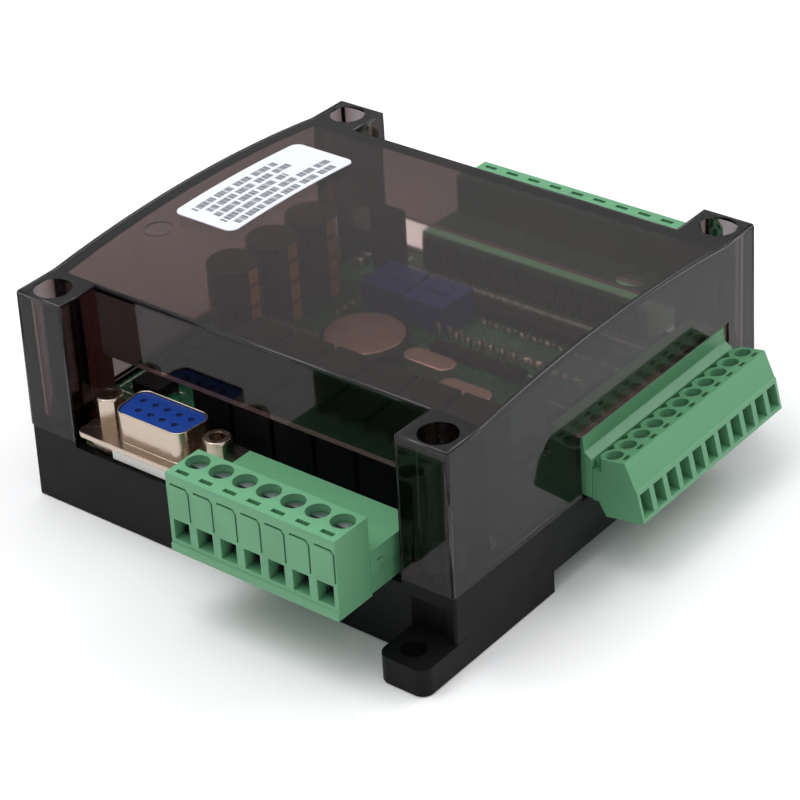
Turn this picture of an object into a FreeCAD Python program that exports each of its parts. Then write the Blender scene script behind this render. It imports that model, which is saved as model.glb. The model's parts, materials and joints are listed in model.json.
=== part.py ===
import FreeCAD, Part
import math
import os
import re
import Sketcher

# DIN-rail controller module: a black base tray, a smoky clear cover, one circuit board,
# three pluggable terminal blocks, a nine-way serial socket and the parts on the board.
# Frame: X along the serial-socket side, Y across the rail, Z up. Origin midway between the
# two screw ears, on the underside. Millimetres.

SIZES = {
    # base tray and cover outline
    "tray_length": 94.4,
    "tray_depth": 90.0,
    "draft_angle": 0.8,
    "wall": 2.0,
    "seam_height": 14.2,
    "ledge_height": 13.3,
    "corner_height": 41.5,
    "arch_rise": 2.3,
    "tower_length": 10.9,
    "tower_depth": 9.4,
    "tower_bore_radius": 3.4,
    "tower_screw_radius": 1.6,
    "tower_seat_height": 17.0,
    "tower_hole_x": 41.8,
    "tower_hole_y": 40.3,
    "window_top": 26.4,
    "back_window_top": 27.8,
    "side_window_low": -9.4,
    "side_window_high": 36.2,
    "edge_round": 0.6,
    # rail channel, foot floors and screw ears
    "channel_half": 18.0,
    "channel_depth": 4.1,
    "floor_low": 2.2,
    "floor_high": 6.0,
    "hook_reach": 1.4,
    "hook_low": 1.1,
    "hook_high": 2.8,
    "hook_length": 24.0,
    "ear_width": 9.8,
    "ear_reach": 8.5,
    "ear_height": 5.2,
    "ear_round": 2.2,
    "ear_hole_x": 41.8,
    "ear_hole_y": 49.25,
    "ear_hole_radius": 2.2,
    "ear_relief_radius": 5.7,
    "ear_relief_top": 11.6,
    # sliding rail clip
    "clip_half_wide": 8.0,
    "clip_half_narrow": 6.0,
    "clip_step": 1.5,
    "clip_top": 3.1,
    "clip_low": 0.3,
    "clip_gap": 0.25,
    "clip_nose_y": 16.4,
    "clip_tail_y": 48.0,
    "clip_travel": 3.0,
    # circuit board
    "board_top": 13.5,
    "board_thick": 1.6,
    "board_half_x": 44.5,
    "board_half_y": 42.5,
    "board_notch_x": 36.0,
    "board_notch_y": 35.0,
    "post_radius": 3.2,
    "pilot_radius": 1.2,
    "board_screw_x": 41.0,
    "board_screw_y": 31.0,
    "board_screw_inner_x": 33.5,
    # large pluggable terminals: 5.08 pitch
    "large_pitch": 5.08,
    "large_header_depth": 12.0,
    "large_header_height": 8.4,
    "large_plug_depth": 8.4,
    "large_plug_height": 15.2,
    "large_hole_radius": 2.1,
    "large_hole_y": 3.1,
    "large_tongue": 7.4,
    "front_ways": 7,
    "back_ways": 10,
    "front_row_x": 17.0,
    "back_row_x": 2.4,
    "mating_y": 50.2,
    # small pluggable terminals: 3.96 pitch
    "small_pitch": 3.96,
    "small_ways": 11,
    "small_header_depth": 9.2,
    "small_header_height": 7.6,
    "small_lip_height": 11.6,
    "small_row_y": 14.0,
    "small_mating_x": 47.9,
    "small_hole_radius": 1.5,
    "small_hole_y": 3.3,
    "small_tongue": 6.0,
    # nine-way serial socket
    "serial_x": -18.5,
    "serial_y": -40.4,
    "flange_half_x": 15.4,
    "flange_half_y": 6.2,
    "flange_low": 17.6,
    "flange_thick": 1.0,
    "shell_top": 24.5,
    "jack_pitch_half": 12.5,
    "contact_radius": 0.6,
    "tail_radius": 0.35,
    # rating label
    "label_left": -40.2,
    "label_right": -26.1,
    "label_front": -11.0,
    "label_back": 23.4,
    "label_thick": 0.15,
}

doc = FreeCAD.newDocument("ControllerModule")
sheet = doc.addObject("Spreadsheet::Sheet", "Sizes")
for row, (alias, number) in enumerate(SIZES.items(), start=1):
    sheet.set("A%d" % row, alias)
    sheet.set("B%d" % row, str(number))
    sheet.setAlias("B%d" % row, alias)
doc.recompute()

nodes = []
X_AXIS = FreeCAD.Vector(1, 0, 0)
Y_AXIS = FreeCAD.Vector(0, 1, 0)
Z_AXIS = FreeCAD.Vector(0, 0, 1)


# ---------------------------------------------------------------- helpers

def formula(text):
    """Turns bare size names into spreadsheet references."""
    names = re.compile(r"[a-z][a-z_]+")
    return names.sub(lambda m: "Sizes." + m.group(0) if m.group(0) in SIZES else m.group(0), str(text))


def number(text):
    """The value of a formula at the present sizes."""
    return float(sheet.evalExpression(formula(text)))


def bind(thing, target, text):
    thing.setExpression(target, formula(text))


def minus(text):
    return "-(%s)" % text


def place(thing, at, turn=None, axis=Z_AXIS):
    """Binds a placement: at is three formulas, turn an angle about axis."""
    if turn is not None:
        thing.Placement = FreeCAD.Placement(FreeCAD.Vector(), FreeCAD.Rotation(axis, turn))
    for letter, text in zip("xyz", at):
        bind(thing, "Placement.Base." + letter, text)
    return thing


def box(low, high):
    """A block between two corners, each given as three formulas."""
    block = doc.addObject("Part::Box", "Block")
    for side, start, end in zip(("Length", "Width", "Height"), low, high):
        bind(block, side, "(%s) - (%s)" % (end, start))
    return place(block, low)


def rod(at, radius, length, axis=Z_AXIS):
    """A round bar starting at a point and running along an axis."""
    bar = doc.addObject("Part::Cylinder", "Bar")
    bind(bar, "Radius", radius)
    bind(bar, "Height", length)
    bar.Placement = FreeCAD.Placement(FreeCAD.Vector(), FreeCAD.Rotation(Z_AXIS, axis))
    for letter, text in zip("xyz", at):
        bind(bar, "Placement.Base." + letter, text)
    return bar


def taper(at, radius_low, radius_high, length):
    cone = doc.addObject("Part::Cone", "Taper")
    bind(cone, "Radius1", radius_low)
    bind(cone, "Radius2", radius_high)
    bind(cone, "Height", length)
    return place(cone, at)


def fuse(parts):
    union = doc.addObject("Part::MultiFuse", "Union")
    union.Shapes = parts
    union.Refine = True
    return union


def cut(base, tools):
    removal = doc.addObject("Part::Cut", "Removal")
    removal.Base = base
    removal.Tool = tools[0] if len(tools) == 1 else fuse(tools)
    return removal


def group(parts):
    """Separate solids that share one node."""
    bundle = doc.addObject("Part::Compound", "Bundle")
    bundle.Links = parts
    return bundle


def node(label, thing, at=None, turn=0.0):
    """Names a finished sub-part, and sets it in place when it was drawn in its own frame."""
    thing.Label = label
    if at is not None:
        place(thing, at, turn)
    nodes.append(thing)
    return thing


def origin_plane(body, role):
    return [item for item in body.Origin.OriginFeatures if item.Role == role][0]


def pin_to_origin(sketch, geometry, point, across, up):
    """Fixes a point of the sketch at two formulas measured from its origin."""
    for kind, text in (("DistanceX", across), ("DistanceY", up)):
        index = sketch.addConstraint(Sketcher.Constraint(kind, -1, 1, geometry, point, number(text)))
        bind(sketch, "Constraints[%d]" % index, text)


def new_sketch(body, role, offset="0"):
    sketch = body.newObject("Sketcher::SketchObject", "Sketch")
    sketch.AttachmentSupport = [(origin_plane(body, role), "")]
    sketch.MapMode = "FlatFace"
    bind(sketch, "AttachmentOffset.Base.z", offset)
    return sketch


def outline(sketch, points, arcs=None):
    """A closed outline through points (pairs of formulas). arcs maps an edge's number to
    the formula of its rise, to the left of its direction, where it is an arc."""
    arcs = arcs or {}
    count = len(points)
    first = sketch.GeometryCount
    spots = [FreeCAD.Vector(number(across), number(up), 0) for across, up in points]
    for index in range(count):
        start = spots[index]
        end = spots[(index + 1) % count]
        if index in arcs:
            sketch.addGeometry(arc_between(start, end, number(arcs[index])), False)
        else:
            sketch.addGeometry(Part.LineSegment(start, end), False)
    for index in range(count):
        follower = (index + 1) % count
        end_point = nearest_end(sketch, first + index, spots[follower])
        start_point = nearest_end(sketch, first + follower, spots[follower])
        sketch.addConstraint(Sketcher.Constraint(
            "Coincident", first + index, end_point, first + follower, start_point))
    for index in range(count):
        pin_to_origin(sketch, first + index, nearest_end(sketch, first + index, spots[index]), *points[index])
    for index, rise in arcs.items():
        (across, up), (next_across, next_up) = points[index], points[(index + 1) % count]
        square = "((%s) - (%s))^2 + ((%s) - (%s))^2" % (next_across, across, next_up, up)
        radius = "((%s) / 4 + (%s)^2) / (2 * abs(%s))" % (square, rise, rise)
        rule = sketch.addConstraint(Sketcher.Constraint("Radius", first + index, number(radius)))
        bind(sketch, "Constraints[%d]" % rule, radius)
    return sketch


def arch_radius(chord, rise):
    return (chord * chord / 4 + rise * rise) / (2 * rise)


def arc_between(start, end, rise):
    """The arc whose crown stands rise to the left of the line from start to end."""
    side = Z_AXIS.cross(end - start).normalize()
    radius = arch_radius((end - start).Length, abs(rise))
    centre = (start + end) * 0.5 + side * (rise - math.copysign(radius, rise))
    angles = [math.atan2(spot.y - centre.y, spot.x - centre.x) for spot in (start, end)]
    if rise > 0:
        angles.reverse()
    return Part.ArcOfCircle(Part.Circle(centre, Z_AXIS, radius), *angles)


def nearest_end(sketch, geometry, spot):
    """1 for the curve's start or 2 for its end, whichever lies at the spot."""
    curve = sketch.Geometry[geometry]
    return 1 if (curve.StartPoint - spot).Length < (curve.EndPoint - spot).Length else 2


def rectangle(sketch, left, right, low, high):
    return outline(sketch, [(left, low), (right, low), (right, high), (left, high)])


def circle(sketch, across, up, radius):
    index = sketch.addGeometry(
        Part.Circle(FreeCAD.Vector(number(across), number(up), 0), Z_AXIS, number(radius)), False)
    pin_to_origin(sketch, index, 3, across, up)
    rule = sketch.addConstraint(Sketcher.Constraint("Radius", index, number(radius)))
    bind(sketch, "Constraints[%d]" % rule, radius)
    return sketch


def pad(body, sketch, length, angle=None, backwards=False):
    feature = body.newObject("PartDesign::Pad", "Pad")
    feature.Profile = sketch
    bind(feature, "Length", length)
    feature.Reversed = backwards
    if angle is not None:
        bind(feature, "TaperAngle", angle)
    doc.recompute()
    return feature


def pocket(body, sketch, length=None, backwards=False):
    """Cuts a sketch out of its body and makes sure that something was removed."""
    before = body.Shape.Volume
    feature = body.newObject("PartDesign::Pocket", "Pocket")
    feature.Profile = sketch
    feature.Reversed = backwards
    if length is None:
        feature.Type = "ThroughAll"
    else:
        bind(feature, "Length", length)
    doc.recompute()
    if body.Shape.Volume > before - 1e-6:
        raise RuntimeError("pocket removed nothing: " + body.Label)
    return feature


def repeat(body, features, axis_role, length, count):
    pattern = body.newObject("PartDesign::LinearPattern", "Row")
    pattern.Originals = features
    pattern.Direction = (origin_plane(body, axis_role), [""])
    bind(pattern, "Length", length)
    bind(pattern, "Occurrences", count)
    doc.recompute()
    body.Tip = pattern
    return pattern


def new_body(label):
    body = doc.addObject("PartDesign::Body", "Body")
    body.Label = label
    return body


def upright_edges(shape, keep):
    """Names of the near-vertical straight edges whose middle passes the test."""
    found = []
    for index, edge in enumerate(shape.Edges, start=1):
        if len(edge.Vertexes) < 2:
            continue
        start = edge.Vertexes[0].Point
        chord = edge.Vertexes[1].Point - start
        if chord.Length > 0.9 and abs(chord.z) > 0.99 * edge.Length and keep(start + chord * 0.5):
            found.append("Edge%d" % index)
    return found


def fillet(body, names, radius):
    solid = body.Tip
    feature = body.newObject("PartDesign::Fillet", "Round")
    feature.Base = (solid, names)
    bind(feature, "Radius", radius)
    doc.recompute()
    return feature


CORNERS = [(-1, -1), (1, -1), (1, 1), (-1, 1)]


# ---------------------------------------------------------------- base tray

def make_base_shell():
    body = new_body("base_shell")
    half_x = "tray_length / 2"
    half_y = "tray_depth / 2"
    pad(body, rectangle(new_sketch(body, "XY_Plane"), minus(half_x), half_x, minus(half_y), half_y),
        "seam_height", "-draft_angle")
    fillet(body, upright_edges(body.Shape, lambda spot: True), "edge_round")

    # two screw ears on opposite corners, each with a rounded outer end
    for side in (-1, 1):
        outer = "%d * (tray_length / 2)" % -side
        inner = "%d * (tray_length / 2 - ear_width)" % -side
        near = "%d * (tray_depth / 2 - 3)" % side
        far = "%d * (tray_depth / 2 + ear_reach)" % side
        left, right = (outer, inner) if side > 0 else (inner, outer)
        low, high = (near, far) if side > 0 else (far, near)
        ear = pad(body, rectangle(new_sketch(body, "XY_Plane"), left, right, low, high), "ear_height")
        limit = number("tray_depth / 2 + 2")
        ends = upright_edges(ear.Shape, lambda spot: spot.y * side > limit)
        fillet(body, ends, "ear_round")

    # hollow of the tray: deep over the two feet, shallow over the rail channel
    hollow = new_sketch(body, "YZ_Plane", "-(tray_length / 2 - wall)")
    outline(hollow, [
        ("-(tray_depth / 2 - wall)", "floor_low"), ("-(channel_half + wall)", "floor_low"),
        ("-(channel_half + wall)", "floor_high"), ("tray_depth / 2 - wall", "floor_high"),
        ("tray_depth / 2 - wall", "seam_height + 1"), ("-(tray_depth / 2 - wall)", "seam_height + 1")])
    pocket(body, hollow, "tray_length - 2 * wall", backwards=True)

    # channel for the 35 mm rail, right through along X
    channel = new_sketch(body, "YZ_Plane", "-tray_length")
    rectangle(channel, "-channel_half", "channel_half", "-1", "channel_depth")
    pocket(body, channel, "2 * tray_length", backwards=True)

    # the walls under the plugs are lower than the seam
    inner_face = "(tray_depth / 2 - wall - 1)"
    for low, high in (("-tray_depth", minus(inner_face)), (inner_face, "tray_depth")):
        ledge = new_sketch(body, "XY_Plane", "ledge_height")
        rectangle(ledge, "-(tray_length / 2 - tower_length)", "tray_length / 2 - tower_length", low, high)
        pocket(body, ledge, "5", backwards=True)
    ledge = new_sketch(body, "XY_Plane", "ledge_height")
    rectangle(ledge, "tray_length / 2 - wall - 1", "tray_length", "side_window_low", "side_window_high")
    pocket(body, ledge, "5", backwards=True)

    # solid corner posts for the cover screws, and round posts under the board
    for across, up in CORNERS:
        left, right = sorted((across * 45.9, across * 37.6))
        low, high = sorted((up * 43.7, up * 36.6))
        post = new_sketch(body, "XY_Plane", "floor_low - 0.2")
        rectangle(post, left, right, low, high)
        pad(body, post, "seam_height - floor_low + 0.2")
    for across, up in board_screw_places():
        post = new_sketch(body, "XY_Plane", "floor_low - 0.2")
        circle(post, across, up, "post_radius")
        pad(body, post, "board_top - board_thick - floor_low + 0.2")
    pilots = new_sketch(body, "XY_Plane", "floor_high + 0.8")
    for across, up in CORNERS:
        circle(pilots, "%d * tower_hole_x" % across, "%d * tower_hole_y" % up, "pilot_radius")
    for across, up in board_screw_places():
        circle(pilots, across, up, "pilot_radius - 0.2")
    pocket(body, pilots, "20", backwards=True)

    # screw-head relief in the wall above each ear, and the ear's hole
    for side in (-1, 1):
        across = "%d * ear_hole_x" % -side
        up = "%d * ear_hole_y" % side
        relief = new_sketch(body, "XY_Plane", "ear_height")
        circle(relief, across, up, "ear_relief_radius")
        pocket(body, relief, "ear_relief_top - ear_height", backwards=True)
        hole = new_sketch(body, "XY_Plane", "-1")
        circle(hole, across, up, "ear_hole_radius")
        pocket(body, hole, "ear_height + 2", backwards=True)

    # fixed hook under the rail's front flange
    hook = new_sketch(body, "XY_Plane", "hook_low")
    rectangle(hook, "-hook_length / 2", "hook_length / 2",
              "-(channel_half + 1)", "-channel_half + hook_reach")
    pad(body, hook, "hook_high - hook_low")

    # stepped groove for the sliding clip, open to the channel, the back and below
    groove = new_sketch(body, "XZ_Plane", "-(channel_half - 1)")
    outline(groove, [
        ("-(clip_half_narrow + clip_gap)", "-1"), ("clip_half_narrow + clip_gap", "-1"),
        ("clip_half_narrow + clip_gap", "clip_step"), ("clip_half_wide + clip_gap", "clip_step"),
        ("clip_half_wide + clip_gap", "clip_top + clip_gap"),
        ("-(clip_half_wide + clip_gap)", "clip_top + clip_gap"),
        ("-(clip_half_wide + clip_gap)", "clip_step"), ("-(clip_half_narrow + clip_gap)", "clip_step")])
    pocket(body, groove, "tray_depth / 2")
    return node("base_shell", body)


def board_screw_places():
    return [("-board_screw_x", "-board_screw_y"), ("board_screw_x", "-board_screw_y"),
            ("-board_screw_x", "board_screw_y"), ("board_screw_inner_x", "board_screw_y")]


# ---------------------------------------------------------------- clear cover

def make_top_cover():
    body = new_body("top_cover")
    shrink = "seam_height * tan(draft_angle)"
    half_x = "(tray_length / 2 - %s)" % shrink
    half_y = "(tray_depth / 2 - %s)" % shrink
    hood = "(tray_depth / 2 - tower_depth)"
    block = new_sketch(body, "XY_Plane", "seam_height")
    rectangle(block, minus(half_x), half_x, minus(half_y), half_y)
    pad(body, block, "corner_height + 6 - seam_height", "-draft_angle")
    fillet(body, upright_edges(body.Shape, lambda spot: True), "edge_round")

    # arched roof between flat-topped corner towers
    roof = new_sketch(body, "YZ_Plane", "-tray_length")
    outline(roof, [
        ("-tray_depth", "corner_height"), (minus(hood), "corner_height"), (hood, "corner_height"),
        ("tray_depth", "corner_height"), ("tray_depth", "corner_height + 20"),
        ("-tray_depth", "corner_height + 20")], {1: "arch_rise"})
    pocket(body, roof, "2 * tray_length", backwards=True)

    # recesses between the towers over the front and back plugs
    for low, high in (("-tray_depth", minus(hood)), (hood, "tray_depth")):
        recess = new_sketch(body, "XY_Plane", "seam_height - 1")
        rectangle(recess, "-(tray_length / 2 - tower_length)", "tray_length / 2 - tower_length", low, high)
        pocket(body, recess, "60", backwards=True)

    # inside of the hood
    inside = "(%s - wall)" % hood
    hollow = new_sketch(body, "YZ_Plane", "-(tray_length / 2 - wall - 0.4)")
    outline(hollow, [
        (minus(inside), "seam_height - 1"), (inside, "seam_height - 1"), (inside, "corner_height - wall"),
        (minus(inside), "corner_height - wall")], {2: "-arch_rise"})
    pocket(body, hollow, "tray_length - 2 * wall - 0.8", backwards=True)

    # two shallow round marks on the underside of the roof
    marks = new_sketch(body, "XY_Plane", "corner_height - wall - 1")
    circle(marks, "-39.8", "-15.4", "2.6")
    circle(marks, "40.6", "14.8", "2.6")
    pocket(body, marks, "arch_rise + 0.9", backwards=True)

    # windows: front and back between the towers, and the right-hand side
    for plane, top, backwards in (("0", "window_top", False), ("0", "back_window_top", True)):
        window = new_sketch(body, "XZ_Plane", plane)
        rectangle(window, "-(tray_length / 2 - tower_length)", "tray_length / 2 - tower_length",
                  "seam_height - 1", top)
        pocket(body, window, "tray_depth", backwards=backwards)
    window = new_sketch(body, "YZ_Plane", "small_mating_x - small_header_depth - 0.6")
    rectangle(window, "side_window_low", "side_window_high", "seam_height - 1", "window_top - 0.6")
    pocket(body, window, "small_header_depth + 2", backwards=True)

    # stepped bores down the towers for the cover screws
    seats = new_sketch(body, "XY_Plane", "tower_seat_height")
    throats = new_sketch(body, "XY_Plane", "seam_height - 1")
    for across, up in CORNERS:
        circle(seats, "%d * tower_hole_x" % across, "%d * tower_hole_y" % up, "tower_bore_radius")
        circle(throats, "%d * tower_hole_x" % across, "%d * tower_hole_y" % up, "tower_screw_radius")
    pocket(body, seats, "60", backwards=True)
    pocket(body, throats, "10", backwards=True)
    return node("top_cover", body)


def cross_recess(at, arm, width, depth):
    """A cross-shaped drive cut downwards from a screw head's top."""
    across, up, top = at
    bars = []
    for half_x, half_y in ((arm, width), (width, arm)):
        bars.append(box(("%s - %s" % (across, half_x), "%s - %s" % (up, half_y), "%s - %s" % (top, depth)),
                        ("%s + %s" % (across, half_x), "%s + %s" % (up, half_y), "%s + 1" % top)))
    return bars


def pan_screw(at, head_radius, head_height, shank_radius, shank_length):
    """A pan-head screw standing on its seat, with a cross recess."""
    across, up, seat = at
    head = rod(at, head_radius, head_height)
    shank = rod((across, up, "%s - %s" % (seat, shank_length)), shank_radius, "%s + 0.5" % shank_length)
    top = "%s + %s" % (seat, head_height)
    return cut(fuse([head, shank]), cross_recess((across, up, top), "1.3", "0.3", "0.9"))


def make_cover_screws():
    screws = []
    for across, up in CORNERS:
        at = ("%d * tower_hole_x" % across, "%d * tower_hole_y" % up, "tower_seat_height")
        screws.append(pan_screw(at, "2.8", "2.1", "pilot_radius - 0.02", "9"))
    return node("cover_screws", group(screws))


def make_board_screws():
    screws = []
    for across, up in board_screw_places():
        screws.append(pan_screw((across, up, "board_top"), "2.6", "1.8", "pilot_radius - 0.22", "6"))
    return node("board_screws", group(screws))


def make_rating_label():
    """A thin sheet that follows the arched roof."""
    chord = number("tray_depth - 2 * tower_depth")
    radius = arch_radius(chord, number("arch_rise"))
    centre = "corner_height + arch_rise - %.6f" % radius
    outer = rod(("label_left - 1", "0", centre), "%.6f + label_thick" % radius, "20", X_AXIS)
    inner = rod(("label_left - 2", "0", centre), "%.6f" % radius, "22", X_AXIS)
    blank = box(("label_left", "label_front", "corner_height"),
                ("label_right", "label_back", "corner_height + arch_rise + 2"))
    rounded = doc.addObject("Part::Fillet", "Rounded")
    rounded.Base = blank
    doc.recompute()
    uprights = [index for index, edge in enumerate(blank.Shape.Edges, start=1)
                if abs(edge.tangentAt(0).z) > 0.99]
    rounded.Edges = [(index, 1.8, 1.8) for index in uprights]
    sheet_part = doc.addObject("Part::Common", "Sheet")
    sheet_part.Base = rounded
    sheet_part.Tool = cut(outer, [inner])
    return node("rating_label", sheet_part)


# ---------------------------------------------------------------- rail clip

def make_rail_clip():
    body = new_body("rail_clip")
    section = new_sketch(body, "XZ_Plane", "-clip_tail_y")
    outline(section, [
        ("-clip_half_narrow", "clip_low"), ("clip_half_narrow", "clip_low"),
        ("clip_half_narrow", "clip_step + clip_gap"), ("clip_half_wide", "clip_step + clip_gap"),
        ("clip_half_wide", "clip_top"), ("-clip_half_wide", "clip_top"),
        ("-clip_half_wide", "clip_step + clip_gap"), ("-clip_half_narrow", "clip_step + clip_gap")])
    pad(body, section, "clip_tail_y - clip_nose_y")
    # the nose is ramped so that it rides over the rail's edge
    ramp = new_sketch(body, "YZ_Plane", "-clip_half_wide - 1")
    outline(ramp, [
        ("clip_nose_y - 1", "clip_low - 1"), ("clip_nose_y + 2.6", "clip_low - 1"),
        ("clip_nose_y - 0.01", "hook_high - 1.0"), ("clip_nose_y - 1", "hook_high - 1.0")])
    pocket(body, ramp, "2 * clip_half_wide + 2", backwards=True)
    shelf = new_sketch(body, "XY_Plane", "hook_high")
    rectangle(shelf, "-clip_half_wide - 1", "clip_half_wide + 1",
              "clip_nose_y - 1", "channel_half + clip_travel + 0.6")
    pocket(body, shelf, "2", backwards=True)
    # two long slots leave springy fingers at the sides, and one slot takes a screwdriver
    slots = new_sketch(body, "XY_Plane", "-1")
    for side in (-1, 1):
        left, right = sorted((side * 3.4, side * 4.4))
        rectangle(slots, left, right, "channel_half + 7", "tray_depth / 2 - 6")
    rectangle(slots, "-2.2", "2.2", "tray_depth / 2 + 0.9", "tray_depth / 2 + 2.0")
    pocket(body, slots, "6", backwards=True)
    return node("rail_clip", body)


# ---------------------------------------------------------------- pluggable terminals

def across_row(index, ways, pitch):
    """Place of one way along its row, as a formula."""
    return "(%d - (%s - 1) / 2) * %s" % (index, ways, pitch)


def make_header(prefix, count, ways, sizes, at, turn):
    """A shrouded right-angle header and its bent pins. Its frame: row along X, mouth towards -Y."""
    pitch = sizes["pitch"]
    half = "(%s * %s / 2)" % (ways, pitch)
    body = new_body(prefix + "_header_blank")
    profile = new_sketch(body, "YZ_Plane", minus(half))
    outline(profile, sizes["header_outline"])
    pad(body, profile, "2 * %s" % half)
    mouth = new_sketch(body, "YZ_Plane", "-(%s - 1.0)" % half)
    rectangle(mouth, "-1", sizes["mouth_depth"], sizes["mouth_low"], sizes["mouth_high"])
    pocket(body, mouth, "2 * %s - 2.0" % half, backwards=True)
    for add_details in sizes["header_details"]:
        add_details(body, ways, half)
    pins = []
    half_pin = sizes["half_pin"]
    for index in range(count):
        middle = across_row(index, ways, pitch)
        left = "%s - %s" % (middle, half_pin)
        right = "%s + %s" % (middle, half_pin)
        blade = box((left, "1.0", "%s - %s" % (sizes["pin_z"], half_pin)),
                    (right, "%s + %s" % (sizes["pin_y"], half_pin), "%s + %s" % (sizes["pin_z"], half_pin)))
        leg = box((left, "%s - %s" % (sizes["pin_y"], half_pin), "-3.0"),
                  (right, "%s + %s" % (sizes["pin_y"], half_pin), "%s" % sizes["pin_z"]))
        pins.append(fuse([blade, leg]))
    bundle = group(pins)
    shell = cut(body, [bundle])
    node(prefix + "_header", shell, at, turn)
    return node(prefix + "_header_pins", group([bundle]), at, turn)


def large_header_details(body, ways, half):
    """Key slots along the mouth, one per way, and a stepped lower flank at both ends."""
    keys = new_sketch(body, "XY_Plane", "large_header_height - 1.2")
    start = across_row(0, ways, "large_pitch")
    rectangle(keys, "%s - 0.7" % start, "%s + 0.7" % start, "-1", "1.6")
    keyway = pocket(body, keys, "2.4", backwards=True)
    repeat(body, [keyway], "X_Axis", "(%s - 1) * large_pitch" % ways, ways)
    for offset in (minus(half), "%s - 0.35" % half):
        flank = new_sketch(body, "YZ_Plane", offset)
        outline(flank, [("-1", "-1"), ("14", "-1"), ("14", "4.6"), ("3.4", "4.6"), ("3.0", "5.0"),
                        ("1.4", "3.6"), ("-1", "3.6")])
        pocket(body, flank, "0.35", backwards=True)
    mark = new_sketch(body, "YZ_Plane", "%s - 0.3" % half)
    rectangle(mark, "1.6", "3.0", "5.9", "6.15")
    pocket(body, mark, "1", backwards=True)


def make_plug(prefix, count, ways, sizes, at, turn):
    """A screw-clamp plug: housing, clamp cages, screws and fork contacts, in the header's frame."""
    pitch = sizes["pitch"]
    half = "(%s * %s / 2)" % (ways, pitch)
    start = across_row(0, ways, pitch)
    body = new_body(prefix + "_plug_housing")
    profile = new_sketch(body, "YZ_Plane", minus(half))
    outline(profile, sizes["plug_outline"])
    pad(body, profile, "2 * %s" % half)
    tongue = new_sketch(body, "YZ_Plane", "-(%s - 1.3)" % half)
    rectangle(tongue, "-1.5", sizes["tongue"],
              "%s + 0.3" % sizes["mouth_low"], "%s - 0.3" % sizes["mouth_high"])
    pad(body, tongue, "2 * %s - 2.6" % half)

    features = []
    well = new_sketch(body, "XY_Plane", sizes["well_floor"])
    circle(well, start, minus(sizes["hole_y"]), sizes["hole_radius"])
    features.append(pocket(body, well, "20", backwards=True))
    throat = new_sketch(body, "XY_Plane", "%s - 0.5" % sizes["cage_high"])
    circle(throat, start, minus(sizes["hole_y"]), "%s + 0.15" % sizes["thread"])
    throat_depth = "%s - %s + 1" % (sizes["well_floor"], sizes["cage_high"])
    features.append(pocket(body, throat, throat_depth, backwards=True))
    probe = new_sketch(body, "XY_Plane", sizes["probe_floor"])
    low, high, half_probe = sizes["probe"]
    rectangle(probe, "%s - %s" % (start, half_probe), "%s + %s" % (start, half_probe), low, high)
    features.append(pocket(body, probe, "20", backwards=True))
    left = "%s - %s" % (start, sizes["chamber_half"])
    right = "%s + %s" % (start, sizes["chamber_half"])
    chamber = new_sketch(body, "XZ_Plane", sizes["chamber_start"])
    rectangle(chamber, left, right, sizes["cage_low"], sizes["cage_high"])
    features.append(pocket(body, chamber, sizes["chamber_length"]))
    entry = new_sketch(body, "XZ_Plane", sizes["plug_reach"])
    rectangle(entry, "%s - %s" % (start, sizes["entry_half"]), "%s + %s" % (start, sizes["entry_half"]),
              sizes["entry_low"], sizes["entry_high"])
    features.append(pocket(body, entry, "%s - %s + 0.5" % (sizes["plug_reach"], sizes["chamber_start"])))
    lane = new_sketch(body, "XZ_Plane", "%s - %s + 0.5" % (sizes["chamber_start"], sizes["chamber_length"]))
    rectangle(lane, "%s - %s" % (start, sizes["lane_half"]), "%s + %s" % (start, sizes["lane_half"]),
              sizes["lane_low"], sizes["lane_high"])
    features.append(pocket(body, lane, "20"))
    for make_groove in sizes["grooves"]:
        features.append(make_groove(body, start))
    repeat(body, features, "X_Axis", "(%s - 1) * %s" % (ways, pitch), ways)
    node(prefix + "_plug_housing", body, at, turn)

    cages = []
    screws = []
    forks = []
    for index in range(count):
        middle = across_row(index, ways, pitch)
        cages.append(clamp_cage(middle, sizes))
        screws.append(terminal_screw(middle, sizes))
        forks.append(fork_contact(middle, sizes))
    node(prefix + "_plug_clamps", group(cages), at, turn)
    node(prefix + "_plug_screws", group(screws), at, turn)
    node(prefix + "_plug_contacts", group(forks), at, turn)


def chamber_back(sizes):
    return "-(%s - %s)" % (sizes["chamber_start"], sizes["chamber_length"])


def clamp_cage(middle, sizes):
    """A square cage, open towards the wire and pierced above for its screw."""
    reach = "(%s - 0.1)" % sizes["chamber_half"]
    front = "-(%s - 0.5)" % sizes["chamber_start"]
    rear = "%s - 0.3" % chamber_back(sizes)
    block = box(("%s - %s" % (middle, reach), front, "%s + 0.1" % sizes["cage_low"]),
                ("%s + %s" % (middle, reach), rear, "%s - 0.1" % sizes["cage_high"]))
    throat = box(("%s - %s + 0.45" % (middle, reach), "%s - 1" % front, "%s + 0.6" % sizes["cage_low"]),
                 ("%s + %s - 0.45" % (middle, reach), "%s + 1" % rear, "%s - 0.9" % sizes["cage_high"]))
    screw_hole = rod((middle, minus(sizes["hole_y"]), "%s - 2" % sizes["cage_high"]),
                     "%s + 0.05" % sizes["thread"], "6")
    return cut(block, [throat, screw_hole])


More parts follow.
